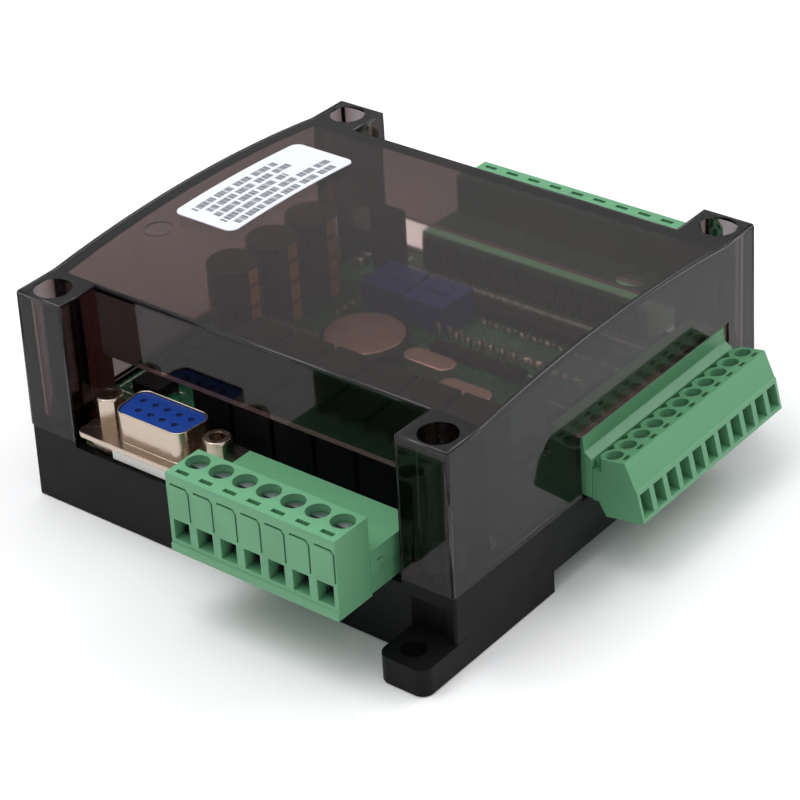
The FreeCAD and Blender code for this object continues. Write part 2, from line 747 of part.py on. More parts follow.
def terminal_screw(middle, sizes):
    """A slotted screw standing in its well, its shank down into the cage."""
    seat = "%s + 0.15" % sizes["well_floor"]
    top = "%s + %s" % (seat, sizes["head_height"])
    row = minus(sizes["hole_y"])
    radius = sizes["hole_radius"]
    head = rod((middle, row, seat), "%s - 0.2" % radius, sizes["head_height"])
    shank = rod((middle, row, "%s - 1.7" % sizes["cage_high"]), sizes["thread"],
                "%s - %s + 1.9" % (seat, sizes["cage_high"]))
    slot = box(("%s - %s" % (middle, radius), "%s - 0.3" % row, "%s - 0.8" % top),
               ("%s + %s" % (middle, radius), "%s + 0.3" % row, "%s + 1" % top))
    return cut(fuse([head, shank]), [slot])


def fork_contact(middle, sizes):
    """A trough-shaped contact that takes one header pin."""
    back = chamber_back(sizes)
    low, high, tip = sizes["lane_low"], sizes["lane_high"], sizes["tongue"]
    half = "(%s - 0.1)" % sizes["lane_half"]
    trough = box(("%s - %s" % (middle, half), "%s - 0.9" % back, "%s + 0.1" % low),
                 ("%s + %s" % (middle, half), "%s - 0.3" % tip, "%s - 0.1" % high))
    hollow = box(("%s - %s + 0.3" % (middle, half), "%s - 2" % back, "%s + 0.35" % low),
                 ("%s + %s - 0.3" % (middle, half), "%s + 1" % tip, "%s + 1" % high))
    return cut(trough, [hollow])


def large_pad_grooves(body, start):
    """Front-face groove that leaves a raised pad above each wire entry."""
    groove = new_sketch(body, "XZ_Plane", "large_plug_depth")
    outline(groove, [
        ("%s - 1.75" % start, "13.0"), ("%s + 1.5" % start, "13.0"), ("%s + 2.0" % start, "12.4"),
        ("%s + 2.0" % start, "7.0"), ("%s + 2.35" % start, "7.0"), ("%s + 2.35" % start, "12.6"),
        ("%s + 1.7" % start, "13.4"), ("%s - 1.75" % start, "13.4")])
    return pocket(body, groove, "0.5", backwards=False)


def small_rear_notches(body, start):
    """Wedge-shaped notches either side of each screw hole, along the plug's rear edge."""
    notch = new_sketch(body, "XY_Plane", "5.8")
    meeting = "(small_pitch / 2 + 0.05)"
    outline(notch, [
        ("%s + 0.75" % start, "0.5"), ("%s + 0.9" % start, "-1.0"), ("%s + %s" % (start, meeting), "-2.0"),
        ("%s + %s" % (start, meeting), "0.5")])
    outline(notch, [
        ("%s - 0.75" % start, "0.5"), ("%s - %s" % (start, meeting), "0.5"),
        ("%s - %s" % (start, meeting), "-2.0"), ("%s - 0.9" % start, "-1.0")])
    return pocket(body, notch, "8", backwards=True)


LARGE = {
    "pitch": "large_pitch",
    "header_details": [large_header_details],
    "header_outline": [("0", "0"), ("large_header_depth", "0"), ("large_header_depth", "large_header_height"),
                       ("0", "large_header_height")],
    "mouth_depth": "large_header_depth - 3", "mouth_low": "1.1", "mouth_high": "large_header_height - 1.1",
    "half_pin": "0.5", "pin_z": "4.1", "pin_y": "10.2",
    "plug_outline": [
        ("-large_plug_depth - 0.3", "0"), ("-0.15", "0"), ("-0.15", "large_plug_height"),
        ("-large_plug_depth", "large_plug_height"), ("-large_plug_depth", "1.5"),
        ("-large_plug_depth - 0.3", "1.4")],
    "plug_reach": "large_plug_depth + 0.4", "tongue": "large_tongue",
    "hole_y": "large_hole_y", "hole_radius": "large_hole_radius", "well_floor": "11.9",
    "probe": ("-7.35", "-6.45", "1.3"), "probe_floor": "10.4",
    "chamber_start": "6.5", "chamber_length": "5.4", "chamber_half": "1.95",
    "cage_low": "2.2", "cage_high": "8.6",
    "entry_half": "1.7", "entry_low": "2.4", "entry_high": "6.4",
    "lane_half": "1.3", "lane_low": "2.9", "lane_high": "5.6",
    "thread": "1.2", "head_height": "1.7",
    "grooves": [large_pad_grooves],
}

SMALL = {
    "pitch": "small_pitch",
    "header_details": [],
    "header_outline": [("0", "0"), ("small_header_depth", "0"), ("small_header_depth", "small_lip_height"),
                       ("2.2", "small_lip_height"), ("1.7", "small_lip_height - 0.4"), ("1.5", "8.6"),
                       ("0", "small_header_height")],
    "mouth_depth": "small_header_depth - 2.2", "mouth_low": "0.9", "mouth_high": "small_header_height - 1.0",
    "half_pin": "0.4", "pin_z": "3.4", "pin_y": "8.0",
    "plug_outline": [
        ("-10.4", "-1.4"), ("-10.0", "-1.7"), ("-6.0", "-2.2"), ("-2.9", "-2.7"), ("-2.2", "-1.6"),
        ("-1.4", "-0.2"), ("-0.15", "-0.2"), ("-0.15", "7.4"), ("-1.0", "8.2"), ("-6.6", "9.2"),
        ("-8.7", "4.6"), ("-9.0", "4.4")],
    "plug_reach": "10.5", "tongue": "small_tongue",
    "hole_y": "small_hole_y", "hole_radius": "small_hole_radius", "well_floor": "5.6",
    "probe": ("-6.0", "-5.3", "0.8"), "probe_floor": "6.2",
    "chamber_start": "5.1", "chamber_length": "4.0", "chamber_half": "1.6",
    "cage_low": "-0.8", "cage_high": "5.0",
    "entry_half": "1.35", "entry_low": "-0.7", "entry_high": "3.6",
    "lane_half": "1.0", "lane_low": "2.3", "lane_high": "4.2",
    "thread": "0.95", "head_height": "1.5",
    "grooves": [small_rear_notches],
}


# ---------------------------------------------------------------- serial socket

def d_outline(sketch, half_wide, half_narrow, half_depth):
    """A D-shaped outline, its wide side towards +Y."""
    return outline(sketch, [
        ("-%s" % half_narrow, "-%s" % half_depth), (half_narrow, "-%s" % half_depth),
        (half_wide, half_depth), ("-%s" % half_wide, half_depth)])


def d_block(label, half_wide, half_narrow, half_depth, low, high, radius):
    body = new_body(label)
    sketch = new_sketch(body, "XY_Plane", low)
    d_outline(sketch, half_wide, half_narrow, half_depth)
    pad(body, sketch, "(%s) - (%s)" % (high, low))
    fillet(body, upright_edges(body.Shape, lambda spot: True), radius)
    return body


def contact_places():
    """Five contacts behind and four in front, 2.77 apart, as pairs of formulas."""
    rear = [("(%d - 2) * 2.77" % index, "1.42") for index in range(5)]
    front = [("(%d - 1.5) * 2.77" % index, "-1.42") for index in range(4)]
    return rear + front


def make_serial_socket():
    at = ("serial_x", "serial_y", "0")
    flange_top = "flange_low + flange_thick"
    collar = d_block("serial_collar", "8.4", "7.6", "4.2", "flange_low + 0.2", "shell_top", "2.3")
    bore = d_block("serial_collar_bore", "8.05", "7.25", "3.85", "flange_low - 1", "shell_top + 1", "1.95")
    flange = new_body("serial_flange")
    sheet_sketch = new_sketch(flange, "XY_Plane", "flange_low")
    rectangle(sheet_sketch, "-flange_half_x", "flange_half_x", "-flange_half_y", "flange_half_y")
    pad(flange, sheet_sketch, "flange_thick")
    fillet(flange, upright_edges(flange.Shape, lambda spot: True), "1.5")
    holes = [rod(("%d * jack_pitch_half" % side, "0", "flange_low - 1"), "1.6", "3") for side in (-1, 1)]
    node("serial_shell", cut(fuse([flange, collar]), [bore] + holes), at)

    insert = d_block("serial_insert_blank", "8.0", "7.2", "3.8", "flange_low + 0.1", "shell_top - 0.3", "1.9")
    bores = [rod((across, up, "flange_low - 1"), "contact_radius + 0.02", "12")
             for across, up in contact_places()]
    node("serial_insert", cut(insert, bores), at)

    block = box(("-9.6", "-3.6", "board_top"), ("9.6", "4.4", "flange_low"))
    tails = [rod((across, up, "board_top - 3.2"), "tail_radius",
                 "shell_top - board_top + 2.0")
             for across, up in contact_places()]
    sleeves = [rod((across, up, "flange_low + 0.3"), "contact_radius", "shell_top - flange_low - 1.2")
               for across, up in contact_places()]
    mouths = [rod((across, up, "shell_top - 3.4"), "0.42", "4") for across, up in contact_places()]
    pins = [cut(fuse([tail, sleeve]), [mouth]) for tail, sleeve, mouth in zip(tails, sleeves, mouths)]
    contacts = group(pins)
    node("serial_base", cut(block, [rod((across, up, "board_top - 1"), "tail_radius", "12")
                                    for across, up in contact_places()]), at)
    node("serial_contacts", contacts, at)

    jacks = []
    locks = []
    for side in (-1, 1):
        across = "%d * jack_pitch_half" % side
        jacks.append(hex_jack(across, flange_top))
        saddle = box(("%s - 2.3" % across, "-3.0", "board_top"), ("%s + 2.3" % across, "3.0", "flange_low"))
        bore_hole = rod((across, "0", "board_top - 1"), "1.5", "8")
        legs = [box(("%s - 0.5" % across, low, "board_top - 2.6"), ("%s + 0.5" % across, high, "board_top"))
                for low, high in (("-1.8", "-1.2"), ("1.2", "1.8"))]
        locks.append(cut(fuse([saddle] + legs), [bore_hole]))
    node("serial_jackscrews", group(jacks), at)
    node("serial_board_locks", group(locks), at)


def hex_jack(across, seat):
    """A hexagonal jack post with a crowned end, a thread below and a threaded socket."""
    body = new_body("jack_blank")
    sketch = new_sketch(body, "XY_Plane", seat)
    across_flats = 4.75
    radius = across_flats / math.sqrt(3)
    points = []
    for index in range(6):
        angle = math.radians(60 * index + 30)
        points.append(("%s + %.4f" % (across, radius * math.cos(angle)), "%.4f" % (radius * math.sin(angle))))
    outline(sketch, points)
    pad(body, sketch, "5.4")
    crown = taper((across, "0", "%s + 5.4 - 6" % seat), "8.4", "2.25", "6.0")
    waist = rod((across, "0", "%s - 3.4" % seat), "1.4", "3.6")
    shape = doc.addObject("Part::Common", "Crowned")
    shape.Base = body
    shape.Tool = crown
    socket = rod((across, "0", "%s + 1.2" % seat), "1.4", "6")
    return cut(fuse([shape, waist]), [socket])


# ---------------------------------------------------------------- circuit board and its parts

def board_box(x, y, length, depth, height, lift=0.0):
    """A block centred on a point of the board's upper face."""
    low = ("%g" % (x - length / 2), "%g" % (y - depth / 2), "board_top + %g" % lift)
    high = ("%g" % (x + length / 2), "%g" % (y + depth / 2), "board_top + %g" % (lift + height))
    return box(low, high)


def board_rod(x, y, radius, height, lift=0.0):
    return rod(("%g" % x, "%g" % y, "board_top + %g" % lift), "%g" % radius, "%g" % height)


def make_board(pin_bundles):
    body = new_body("circuit_board_blank")
    sketch = new_sketch(body, "XY_Plane", "board_top - board_thick")
    outline(sketch, [
        ("-board_notch_x", "-board_half_y"), ("board_notch_x", "-board_half_y"),
        ("board_notch_x", "-board_notch_y"), ("board_half_x", "-board_notch_y"),
        ("board_half_x", "board_notch_y"), ("board_notch_x", "board_notch_y"),
        ("board_notch_x", "board_half_y"), ("-board_notch_x", "board_half_y"),
        ("-board_notch_x", "board_notch_y"), ("-board_half_x", "board_notch_y"),
        ("-board_half_x", "-board_notch_y"), ("-board_notch_x", "-board_notch_y")])
    pad(body, sketch, "board_thick")
    holes = new_sketch(body, "XY_Plane", "board_top - board_thick - 1")
    for across, up in board_screw_places():
        circle(holes, across, up, "1.5")
    pocket(body, holes, "5", backwards=True)
    return node("circuit_board", cut(body, [group(pin_bundles)]))


# Parts on the board. Sizes run along X, Y and Z; places are X, Y on the board's upper face.
SOLDER_GAP = 0.1
LEAD_THICK = 0.3
RELAY = (8.4, 18.4, 15.2)
RELAY_COUNT = 6
RELAY_PITCH = 9.2
RELAY_FIRST_X = -15.4
RELAY_Y = -22.4
CAPACITOR_X = -35.4
CAPACITOR_ROWS = (-1.8, 9.3, 20.4)
CAN_RADIUS = 4.8
CAN_HEIGHT = 16.0
CAN_LIFT = 0.4
SLEEVE_RADIUS = 5.0
SLEEVE_OPENING = 4.2
VENT = (7.0, 0.35, 0.3)
COIN_PLACE = (-13.3, 8.0)
COIN_RADIUS = 7.6
COIN_THICK = 1.7
HOLDER_RADIUS = 8.6
HOLDER_HEIGHT = 2.6
HOLDER_FLOOR = 1.6
CRYSTAL_PLACES = ((2.4, 7.0), (14.0, 1.9))
CRYSTAL_MIDDLE = (6.4, 4.6, 3.5)
TRIMMER_PLACES = ((-18.6, 24.0), (-8.4, 24.0))
TRIMMER_CASE = (9.4, 9.4, 6.0)
ROTOR_RADIUS = 2.95
ROTOR_SOCKET_RADIUS = 3.1
ROTOR_FLOOR = 4.6
REGULATOR_PLACE = (-26.0, 31.8)
REGULATOR = (6.4, 3.0, 12.6)
REGULATOR_LIFT = 2.4
REGULATOR_LEG_PITCH = 2.0
INDUCTOR_PLACE = (-22.6, -6.7)
INDUCTOR = (12.0, 12.0, 6.0)
DIODE = (6.4, 5.4, 2.3)
DIODE_PLACES = ((-37.2, -23.0), (-37.2, -15.0))
PROCESSOR_PLACE = (16.5, -6.8)
PROCESSOR = (14.0, 9.4, 1.4)
DRIVER_PLACE = (-1.5, -5.6)
DRIVER = (10.0, 4.0, 1.6)
BUFFER_X = 30.5
BUFFERS = ((-4.0, 8.6, 6), (8.0, 5.0, 4), (18.0, 8.6, 6))
BUFFER_WIDTH = 4.0
BUFFER_HEIGHT = 1.6
CHIP_PITCH = 1.27
COUPLER = (4.2, 3.4, 2.1)
COUPLER_COUNT = 8
COUPLER_PITCH = 4.9
COUPLER_FIRST = (-13.0, 31.4)
LINK_PLACE = (7.5, 14.6)
LINK_WAYS = 8
LINK_PITCH = 2.54
LIGHT = (1.6, 0.8, 0.7)
LIGHT_COUNT = 11
LIGHT_PITCH = 2.6
LIGHT_FIRST = (-1.5, 20.6)
RESISTOR = (1.6, 0.8, 0.5)
RESISTOR_TURNED = (0.8, 1.6, 0.5)
RESISTOR_PITCH = 2.9
TANTALUM = (2.0, 3.2, 1.9)
TANTALUM_PLACES = ((-31.2, 36.2), (-34.2, 33.2))


def row_of(count, pitch, first):
    """Places along X from the first one, a pitch apart."""
    x, y = first
    return [(x + pitch * index, y) for index in range(count)]


def make_tall_parts():
    places = row_of(RELAY_COUNT, RELAY_PITCH, (RELAY_FIRST_X, RELAY_Y))
    node("relays", group([board_box(x, y, *RELAY, 0.2) for x, y in places]))

    cans = []
    sleeves = []
    vent_lift = CAN_LIFT + CAN_HEIGHT - VENT[2] + SOLDER_GAP
    for row in CAPACITOR_ROWS:
        vents = [board_box(CAPACITOR_X, row, VENT[0], VENT[1], VENT[2], vent_lift),
                 board_box(CAPACITOR_X, row, VENT[1], VENT[0], VENT[2], vent_lift)]
        cans.append(cut(board_rod(CAPACITOR_X, row, CAN_RADIUS, CAN_HEIGHT, CAN_LIFT), vents))
        inside = [board_rod(CAPACITOR_X, row, CAN_RADIUS, CAN_HEIGHT + 4, CAN_LIFT),
                  board_rod(CAPACITOR_X, row, SLEEVE_OPENING, CAN_HEIGHT + 4, -1)]
        sleeves.append(cut(board_rod(CAPACITOR_X, row, SLEEVE_RADIUS, CAN_HEIGHT, CAN_LIFT / 2), inside))
    node("capacitor_cans", group(cans))
    node("capacitor_sleeves", group(sleeves))

    x, y = REGULATOR_PLACE
    legs = [board_box(x + REGULATOR_LEG_PITCH * side, y, 0.7, 0.5, REGULATOR_LIFT + 0.2)
            for side in (-1, 0, 1)]
    node("regulator", fuse([board_box(x, y, *REGULATOR, REGULATOR_LIFT)] + legs))


def make_coin_cell():
    x, y = COIN_PLACE
    node("coin_cell", board_rod(x, y, COIN_RADIUS, COIN_THICK, HOLDER_FLOOR + 0.1))
    seat = board_rod(x, y, COIN_RADIUS + 0.1, HOLDER_HEIGHT, HOLDER_FLOOR)
    thumb_notch = board_box(x, y - HOLDER_RADIUS + 0.6, 9, 6, HOLDER_HEIGHT, HOLDER_FLOOR)
    node("coin_cell_holder", cut(board_rod(x, y, HOLDER_RADIUS, HOLDER_HEIGHT), [seat, thumb_notch]))


def make_trimmers():
    cases = []
    for index, (x, y) in enumerate(TRIMMER_PLACES, start=1):
        case = board_box(x, y, *TRIMMER_CASE, 0.2)
        cases.append(cut(case, [board_rod(x, y, ROTOR_SOCKET_RADIUS, 4, ROTOR_FLOOR)]))
        slot = board_box(x, y, 4.6, 0.8, 2, ROTOR_FLOOR + 0.7)
        node("trimmer_rotor_%d" % index, cut(board_rod(x, y, ROTOR_RADIUS, 1.4, ROTOR_FLOOR + 0.1), [slot]))
    node("trimmer_bodies", group(cases))


def make_power_parts():
    crystals = []
    length, depth, height = CRYSTAL_MIDDLE
    for x, y in CRYSTAL_PLACES:
        ends = [board_rod(x + side * length / 2, y, depth / 2, height, SOLDER_GAP) for side in (-1, 1)]
        crystals.append(fuse([board_box(x, y, *CRYSTAL_MIDDLE, SOLDER_GAP)] + ends))
    node("crystals", group(crystals))
    x, y = INDUCTOR_PLACE
    node("inductor", fuse([board_box(x, y, *INDUCTOR, SOLDER_GAP), board_rod(x, y, 4.0, 0.6, INDUCTOR[2])]))
    node("power_diodes", group([board_box(x, y, *DIODE, SOLDER_GAP) for x, y in DIODE_PLACES]))


def make_chips():
    """The flat packages and, in one more node, all their leads."""
    node("processor", board_box(*PROCESSOR_PLACE, *PROCESSOR, 0.15))
    chips = [board_box(*DRIVER_PLACE, *DRIVER, 0.15)]
    chips += [board_box(BUFFER_X, y, BUFFER_WIDTH, depth, BUFFER_HEIGHT, 0.15) for y, depth, count in BUFFERS]
    node("interface_chips", group(chips))

    leads = []
    for side in (-1, 1):
        x, y = PROCESSOR_PLACE
        row_y = y + side * (PROCESSOR[1] / 2 + 0.6)
        leads += [board_box(spot, row_y, 0.3, 1.2, LEAD_THICK)
                  for spot, row_y in row_of(17, 0.8, (x - 6.4, row_y))]
        x, y = DRIVER_PLACE
        row_y = y + side * (DRIVER[1] / 2 + 0.6)
        leads += [board_box(spot, row_y, 0.45, 1.2, LEAD_THICK)
                  for spot, row_y in row_of(8, CHIP_PITCH, (x - 4.4, row_y))]
        for y, depth, count in BUFFERS:
            leads += [board_box(BUFFER_X + side * (BUFFER_WIDTH / 2 + 0.6),
                                y + CHIP_PITCH * (index - (count - 1) / 2), 1.2, 0.45, LEAD_THICK)
                      for index in range(count)]
    for x, y in DIODE_PLACES:
        leads.append(board_box(x - DIODE[0] / 2 - 0.7, y, 1.4, 4.4, LEAD_THICK))
        leads += [board_box(x + DIODE[0] / 2 + 1.0, y + side * 1.7, 2.0, 0.8, LEAD_THICK) for side in (-1, 1)]
    node("chip_leads", group(leads))


def make_small_parts():
    couplers = row_of(COUPLER_COUNT, COUPLER_PITCH, COUPLER_FIRST)
    node("optocouplers", group([board_box(x, y, *COUPLER, SOLDER_GAP) for x, y in couplers]))
    lights = row_of(LIGHT_COUNT, LIGHT_PITCH, LIGHT_FIRST)
    node("status_lights", group([board_box(x, y, *LIGHT) for x, y in lights]))
    resistors = row_of(12, RESISTOR_PITCH, (-2.0, 28.2)) + row_of(5, RESISTOR_PITCH, (-6.0, -12.2))
    small = [board_box(x, y, *RESISTOR) for x, y in resistors]
    small += [board_box(-26.0, 16.0 + 2.4 * index, *RESISTOR_TURNED) for index in range(5)]
    small += [board_box(x, y, *TANTALUM) for x, y in TANTALUM_PLACES]
    node("chip_resistors", group(small))


def make_link_header():
    x, y = LINK_PLACE
    places = row_of(LINK_WAYS, LINK_PITCH, (x - LINK_PITCH * (LINK_WAYS - 1) / 2, y))
    pins = group([board_box(spot, y, 0.64, 0.64, 9.2, -3.0) for spot, y in places])
    strip = board_box(x, y, LINK_WAYS * LINK_PITCH, LINK_PITCH, 2.0)
    node("link_header", cut(strip, [pins]))
    return node("link_header_pins", group([pins]))


# ---------------------------------------------------------------- assembly

make_base_shell()
make_top_cover()
make_cover_screws()
make_board_screws()
make_rating_label()
make_rail_clip()
front = ("front_row_x", "-mating_y", "board_top")
back = ("back_row_x", "mating_y", "board_top")
side = ("small_mating_x", "small_row_y", "board_top")
ways_front = SIZES["front_ways"]
ways_back = SIZES["back_ways"]
ways_side = SIZES["small_ways"]
header_pins = []
for prefix, count, ways, sizes, at, turn in (
        ("output", ways_front, "front_ways", LARGE, front, 0.0),
        ("input", ways_back, "back_ways", LARGE, back, 180.0),
        ("signal", ways_side, "small_ways", SMALL, side, 90.0)):
    header_pins.append(make_header(prefix, count, ways, sizes, at, turn))
    make_plug(prefix, count, ways, sizes, at, turn)
make_serial_socket()
serial_tails = [item for item in nodes if item.Label in ("serial_contacts", "serial_board_locks")]
make_tall_parts()
make_coin_cell()
make_trimmers()
make_power_parts()
make_chips()
make_small_parts()
make_board(header_pins + serial_tails + [make_link_header()])
doc.recompute()


# ---------------------------------------------------------------- tests and export

failed = [item.Label for item in doc.Objects if "Invalid" in item.State or "Error" in item.State]
if failed:
    raise RuntimeError("failed features: " + ", ".join(failed))
os.makedirs("parts", exist_ok=True)
for item in nodes:
    if item.Shape.isNull() or not item.Shape.isValid():
        raise RuntimeError("bad shape: " + item.Label)
    print(item.Label, len(item.Shape.Solids), round(item.Shape.Volume, 1))
    item.Shape.exportStep("parts/%s.step" % item.Label)
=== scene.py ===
import json
import math

import bmesh
import bpy
from mathutils import Matrix, Vector


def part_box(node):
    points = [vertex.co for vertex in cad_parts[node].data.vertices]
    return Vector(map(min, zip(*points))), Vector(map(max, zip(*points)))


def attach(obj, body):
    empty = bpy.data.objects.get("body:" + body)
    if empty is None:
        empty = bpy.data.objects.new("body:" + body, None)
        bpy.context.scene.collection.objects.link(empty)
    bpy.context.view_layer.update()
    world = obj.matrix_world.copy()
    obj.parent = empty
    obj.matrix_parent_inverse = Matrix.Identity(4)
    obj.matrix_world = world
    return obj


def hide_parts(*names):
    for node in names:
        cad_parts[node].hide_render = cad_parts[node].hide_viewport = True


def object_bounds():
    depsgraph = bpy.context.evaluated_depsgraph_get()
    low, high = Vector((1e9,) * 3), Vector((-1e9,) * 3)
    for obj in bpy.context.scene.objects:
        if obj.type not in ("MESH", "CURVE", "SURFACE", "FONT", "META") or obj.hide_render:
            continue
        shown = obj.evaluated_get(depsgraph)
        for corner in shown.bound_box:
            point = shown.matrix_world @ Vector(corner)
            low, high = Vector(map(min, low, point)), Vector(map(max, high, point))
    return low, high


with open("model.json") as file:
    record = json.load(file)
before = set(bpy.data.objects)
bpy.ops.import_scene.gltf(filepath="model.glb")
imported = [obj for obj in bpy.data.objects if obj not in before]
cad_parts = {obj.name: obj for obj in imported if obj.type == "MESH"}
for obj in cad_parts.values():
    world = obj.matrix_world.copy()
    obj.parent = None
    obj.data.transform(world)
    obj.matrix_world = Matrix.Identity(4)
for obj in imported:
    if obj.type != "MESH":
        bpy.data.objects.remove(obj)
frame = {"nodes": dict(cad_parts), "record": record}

CAD_BOX = [list(corner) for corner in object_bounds()]
MM = 0.001
HOUSING = "housing"
WELD_DISTANCE = 2e-6
NODE_BODY = {node: body for body, members in frame["record"]["behaviour"]["bodies"].items()
             for node in members}
NODE_SLOT = {part["node"]: part["material_slot"] for part in frame["record"]["subparts"]}


def islands(node):
    """Corners of the box round each separate solid of a node, in metres, in a fixed order."""
    mesh = bmesh.new()
    mesh.from_mesh(frame["nodes"][node].data)
    bmesh.ops.remove_doubles(mesh, verts=mesh.verts, dist=WELD_DISTANCE)
    waiting = set(mesh.verts)
    boxes = []
    while waiting:
        stack = [waiting.pop()]
        spots = []
        while stack:
            vertex = stack.pop()
            spots.append(vertex.co.copy())
            for edge in vertex.link_edges:
                neighbour = edge.other_vert(vertex)
                if neighbour in waiting:
                    waiting.remove(neighbour)
                    stack.append(neighbour)
        low = tuple(min(spot[axis] for spot in spots) for axis in range(3))
        high = tuple(max(spot[axis] for spot in spots) for axis in range(3))
        boxes.append((low, high))
    mesh.free()
    boxes.sort(key=lambda corners: tuple(round(value, 6) for value in corners[0]))
    return [(Vector(low), Vector(high)) for low, high in boxes]


# ---------------------------------------------------------------- materials

def srgb(red, green, blue):
    """Linear colour of an 8-bit display colour."""
    def linear(value):
        share = value / 255
        return share / 12.92 if share <= 0.04045 else ((share + 0.055) / 1.055) ** 2.4
    return (linear(red), linear(green), linear(blue), 1.0)


def scaled(colour, factor):
    """A lighter or darker form of a colour, with full opacity."""
    return tuple(min(1.0, channel * factor) for channel in colour[:3]) + (1.0,)


class Surface:
    """A material being built round one Principled shader, with coordinates in millimetres."""

    def __init__(self, name, roughness=0.4, metallic=0.0, ior=1.5):
        self.material = bpy.data.materials.new(name)
        self.material.use_nodes = True
        self.tree = self.material.node_tree
        self.shader = self.tree.nodes["Principled BSDF"]
        self.output = self.tree.nodes["Material Output"]
        self.shader.inputs["Roughness"].default_value = roughness
        self.shader.inputs["Metallic"].default_value = metallic
        self.shader.inputs["IOR"].default_value = ior
        self.place = self.add("ShaderNodeMapping")
        self.place.inputs["Scale"].default_value = (1 / MM,) * 3
        self.link(self.add("ShaderNodeTexCoord").outputs["Object"], self.place.inputs["Vector"])

    def add(self, kind, **settings):
        node = self.tree.nodes.new(kind)
        for key, value in settings.items():
            setattr(node, key, value)
        return node

    def link(self, source, target):
        self.tree.links.new(source, target)

    def feed(self, target, value):
        """Sets an input from a socket, a number or a colour."""
        if isinstance(value, bpy.types.NodeSocket):
            self.link(value, target)
        else:
            target.default_value = value

    def stretched(self, scale):
        """Coordinates scaled by a different factor along each axis."""
        mapping = self.add("ShaderNodeMapping")
        mapping.inputs["Scale"].default_value = scale
        self.link(self.place.outputs["Vector"], mapping.inputs["Vector"])
        return mapping.outputs["Vector"]

    def noise(self, scale, detail=3.0, rough=0.55, vector=None, warp=0.0):
        """Noise with `scale` blobs to the millimetre."""
        node = self.add("ShaderNodeTexNoise")
        node.inputs["Scale"].default_value = scale
        node.inputs["Detail"].default_value = detail
        node.inputs["Roughness"].default_value = rough
        node.inputs["Distortion"].default_value = warp
        self.link(vector or self.place.outputs["Vector"], node.inputs["Vector"])
        return node.outputs["Fac"]

    def cells(self, scale):
        """Distance to the nearest of scattered points, `scale` of them to the millimetre."""
        node = self.add("ShaderNodeTexVoronoi")
        node.inputs["Scale"].default_value = scale
        self.link(self.place.outputs["Vector"], node.inputs["Vector"])
        return node.outputs["Distance"]

    def math(self, operation, first, second=0.0, third=0.0):
        node = self.add("ShaderNodeMath", operation=operation)
        for slot, value in enumerate((first, second, third)):
            self.feed(node.inputs[slot], value)
        return node.outputs["Value"]

    def within(self, value, middle, half):
        """1 where a value is less than `half` from the middle, 0 elsewhere."""
        return self.math("LESS_THAN", self.math("ABSOLUTE", self.math("SUBTRACT", value, middle)), half)

    def any_of(self, masks):
        """The largest of several masks."""
        total = masks[0]
        for mask in masks[1:]:
            total = self.math("MAXIMUM", total, mask)
        return total

    def remap(self, value, low, high, new_low, new_high):
        node = self.add("ShaderNodeMapRange")
        for key, number in zip(("From Min", "From Max", "To Min", "To Max"), (low, high, new_low, new_high)):
            node.inputs[key].default_value = number
        self.link(value, node.inputs["Value"])
        return node.outputs["Result"]

    def blend(self, factor, first, second):
        node = self.add("ShaderNodeMix", data_type="RGBA")
        self.feed(node.inputs["Factor"], factor)
        self.feed(node.inputs["A"], first)
        self.feed(node.inputs["B"], second)
        return node.outputs["Result"]

    def axes(self):
        node = self.add("ShaderNodeSeparateXYZ")
        self.link(self.place.outputs["Vector"], node.inputs["Vector"])
        return node.outputs["X"], node.outputs["Y"], node.outputs["Z"]

    def level_share(self):
        """Size of the normal's Z: 1 on level faces, 0 on upright ones."""
        node = self.add("ShaderNodeSeparateXYZ")
        self.link(self.add("ShaderNodeNewGeometry").outputs["Normal"], node.inputs["Vector"])
        return self.math("ABSOLUTE", node.outputs["Z"])

    def wear(self):
        """Nearly 1 on outer edges, 0 elsewhere."""
        pointed = self.add("ShaderNodeNewGeometry").outputs["Pointiness"]
        return self.remap(pointed, 0.52, 0.62, 0.0, 1.0)

    def colour(self, value):
        self.feed(self.shader.inputs["Base Color"], value)

    def rough(self, value):
        self.feed(self.shader.inputs["Roughness"], value)

    def bump(self, height, strength, depth_mm):
        node = self.add("ShaderNodeBump")
        node.inputs["Strength"].default_value = strength
        node.inputs["Distance"].default_value = depth_mm * MM
        self.link(height, node.inputs["Height"])
        self.link(node.outputs["Normal"], self.shader.inputs["Normal"])


RUB_STRENGTH = 0.35
RUB_LIGHTENING = 1.35
PATCH_SHIFT = 0.12


def moulded(name, colour, roughness=0.4, grain=7.0, depth=0.012, shift=0.10, gloss=0.5):
    """Injection-moulded plastic: fine spark grain, faint flow marks and rubbed edges."""
    look = Surface(name, roughness)
    look.shader.inputs["Specular IOR Level"].default_value = gloss
    flow = look.noise(0.06, detail=4.0, rough=0.6, warp=0.6)
    tone = look.blend(flow, scaled(colour, 1 - shift), scaled(colour, 1 + shift))
    rubbed = look.math("MULTIPLY", look.wear(), RUB_STRENGTH)
    look.colour(look.blend(rubbed, tone, scaled(colour, RUB_LIGHTENING)))
    fine = look.noise(grain, detail=2.0, rough=0.5)
    uneven = look.math("ADD", fine, look.noise(0.2))
    look.rough(look.remap(uneven, 0.6, 1.4, roughness - 0.07, roughness + 0.09))
    look.bump(fine, 0.35, depth)
    return look.material


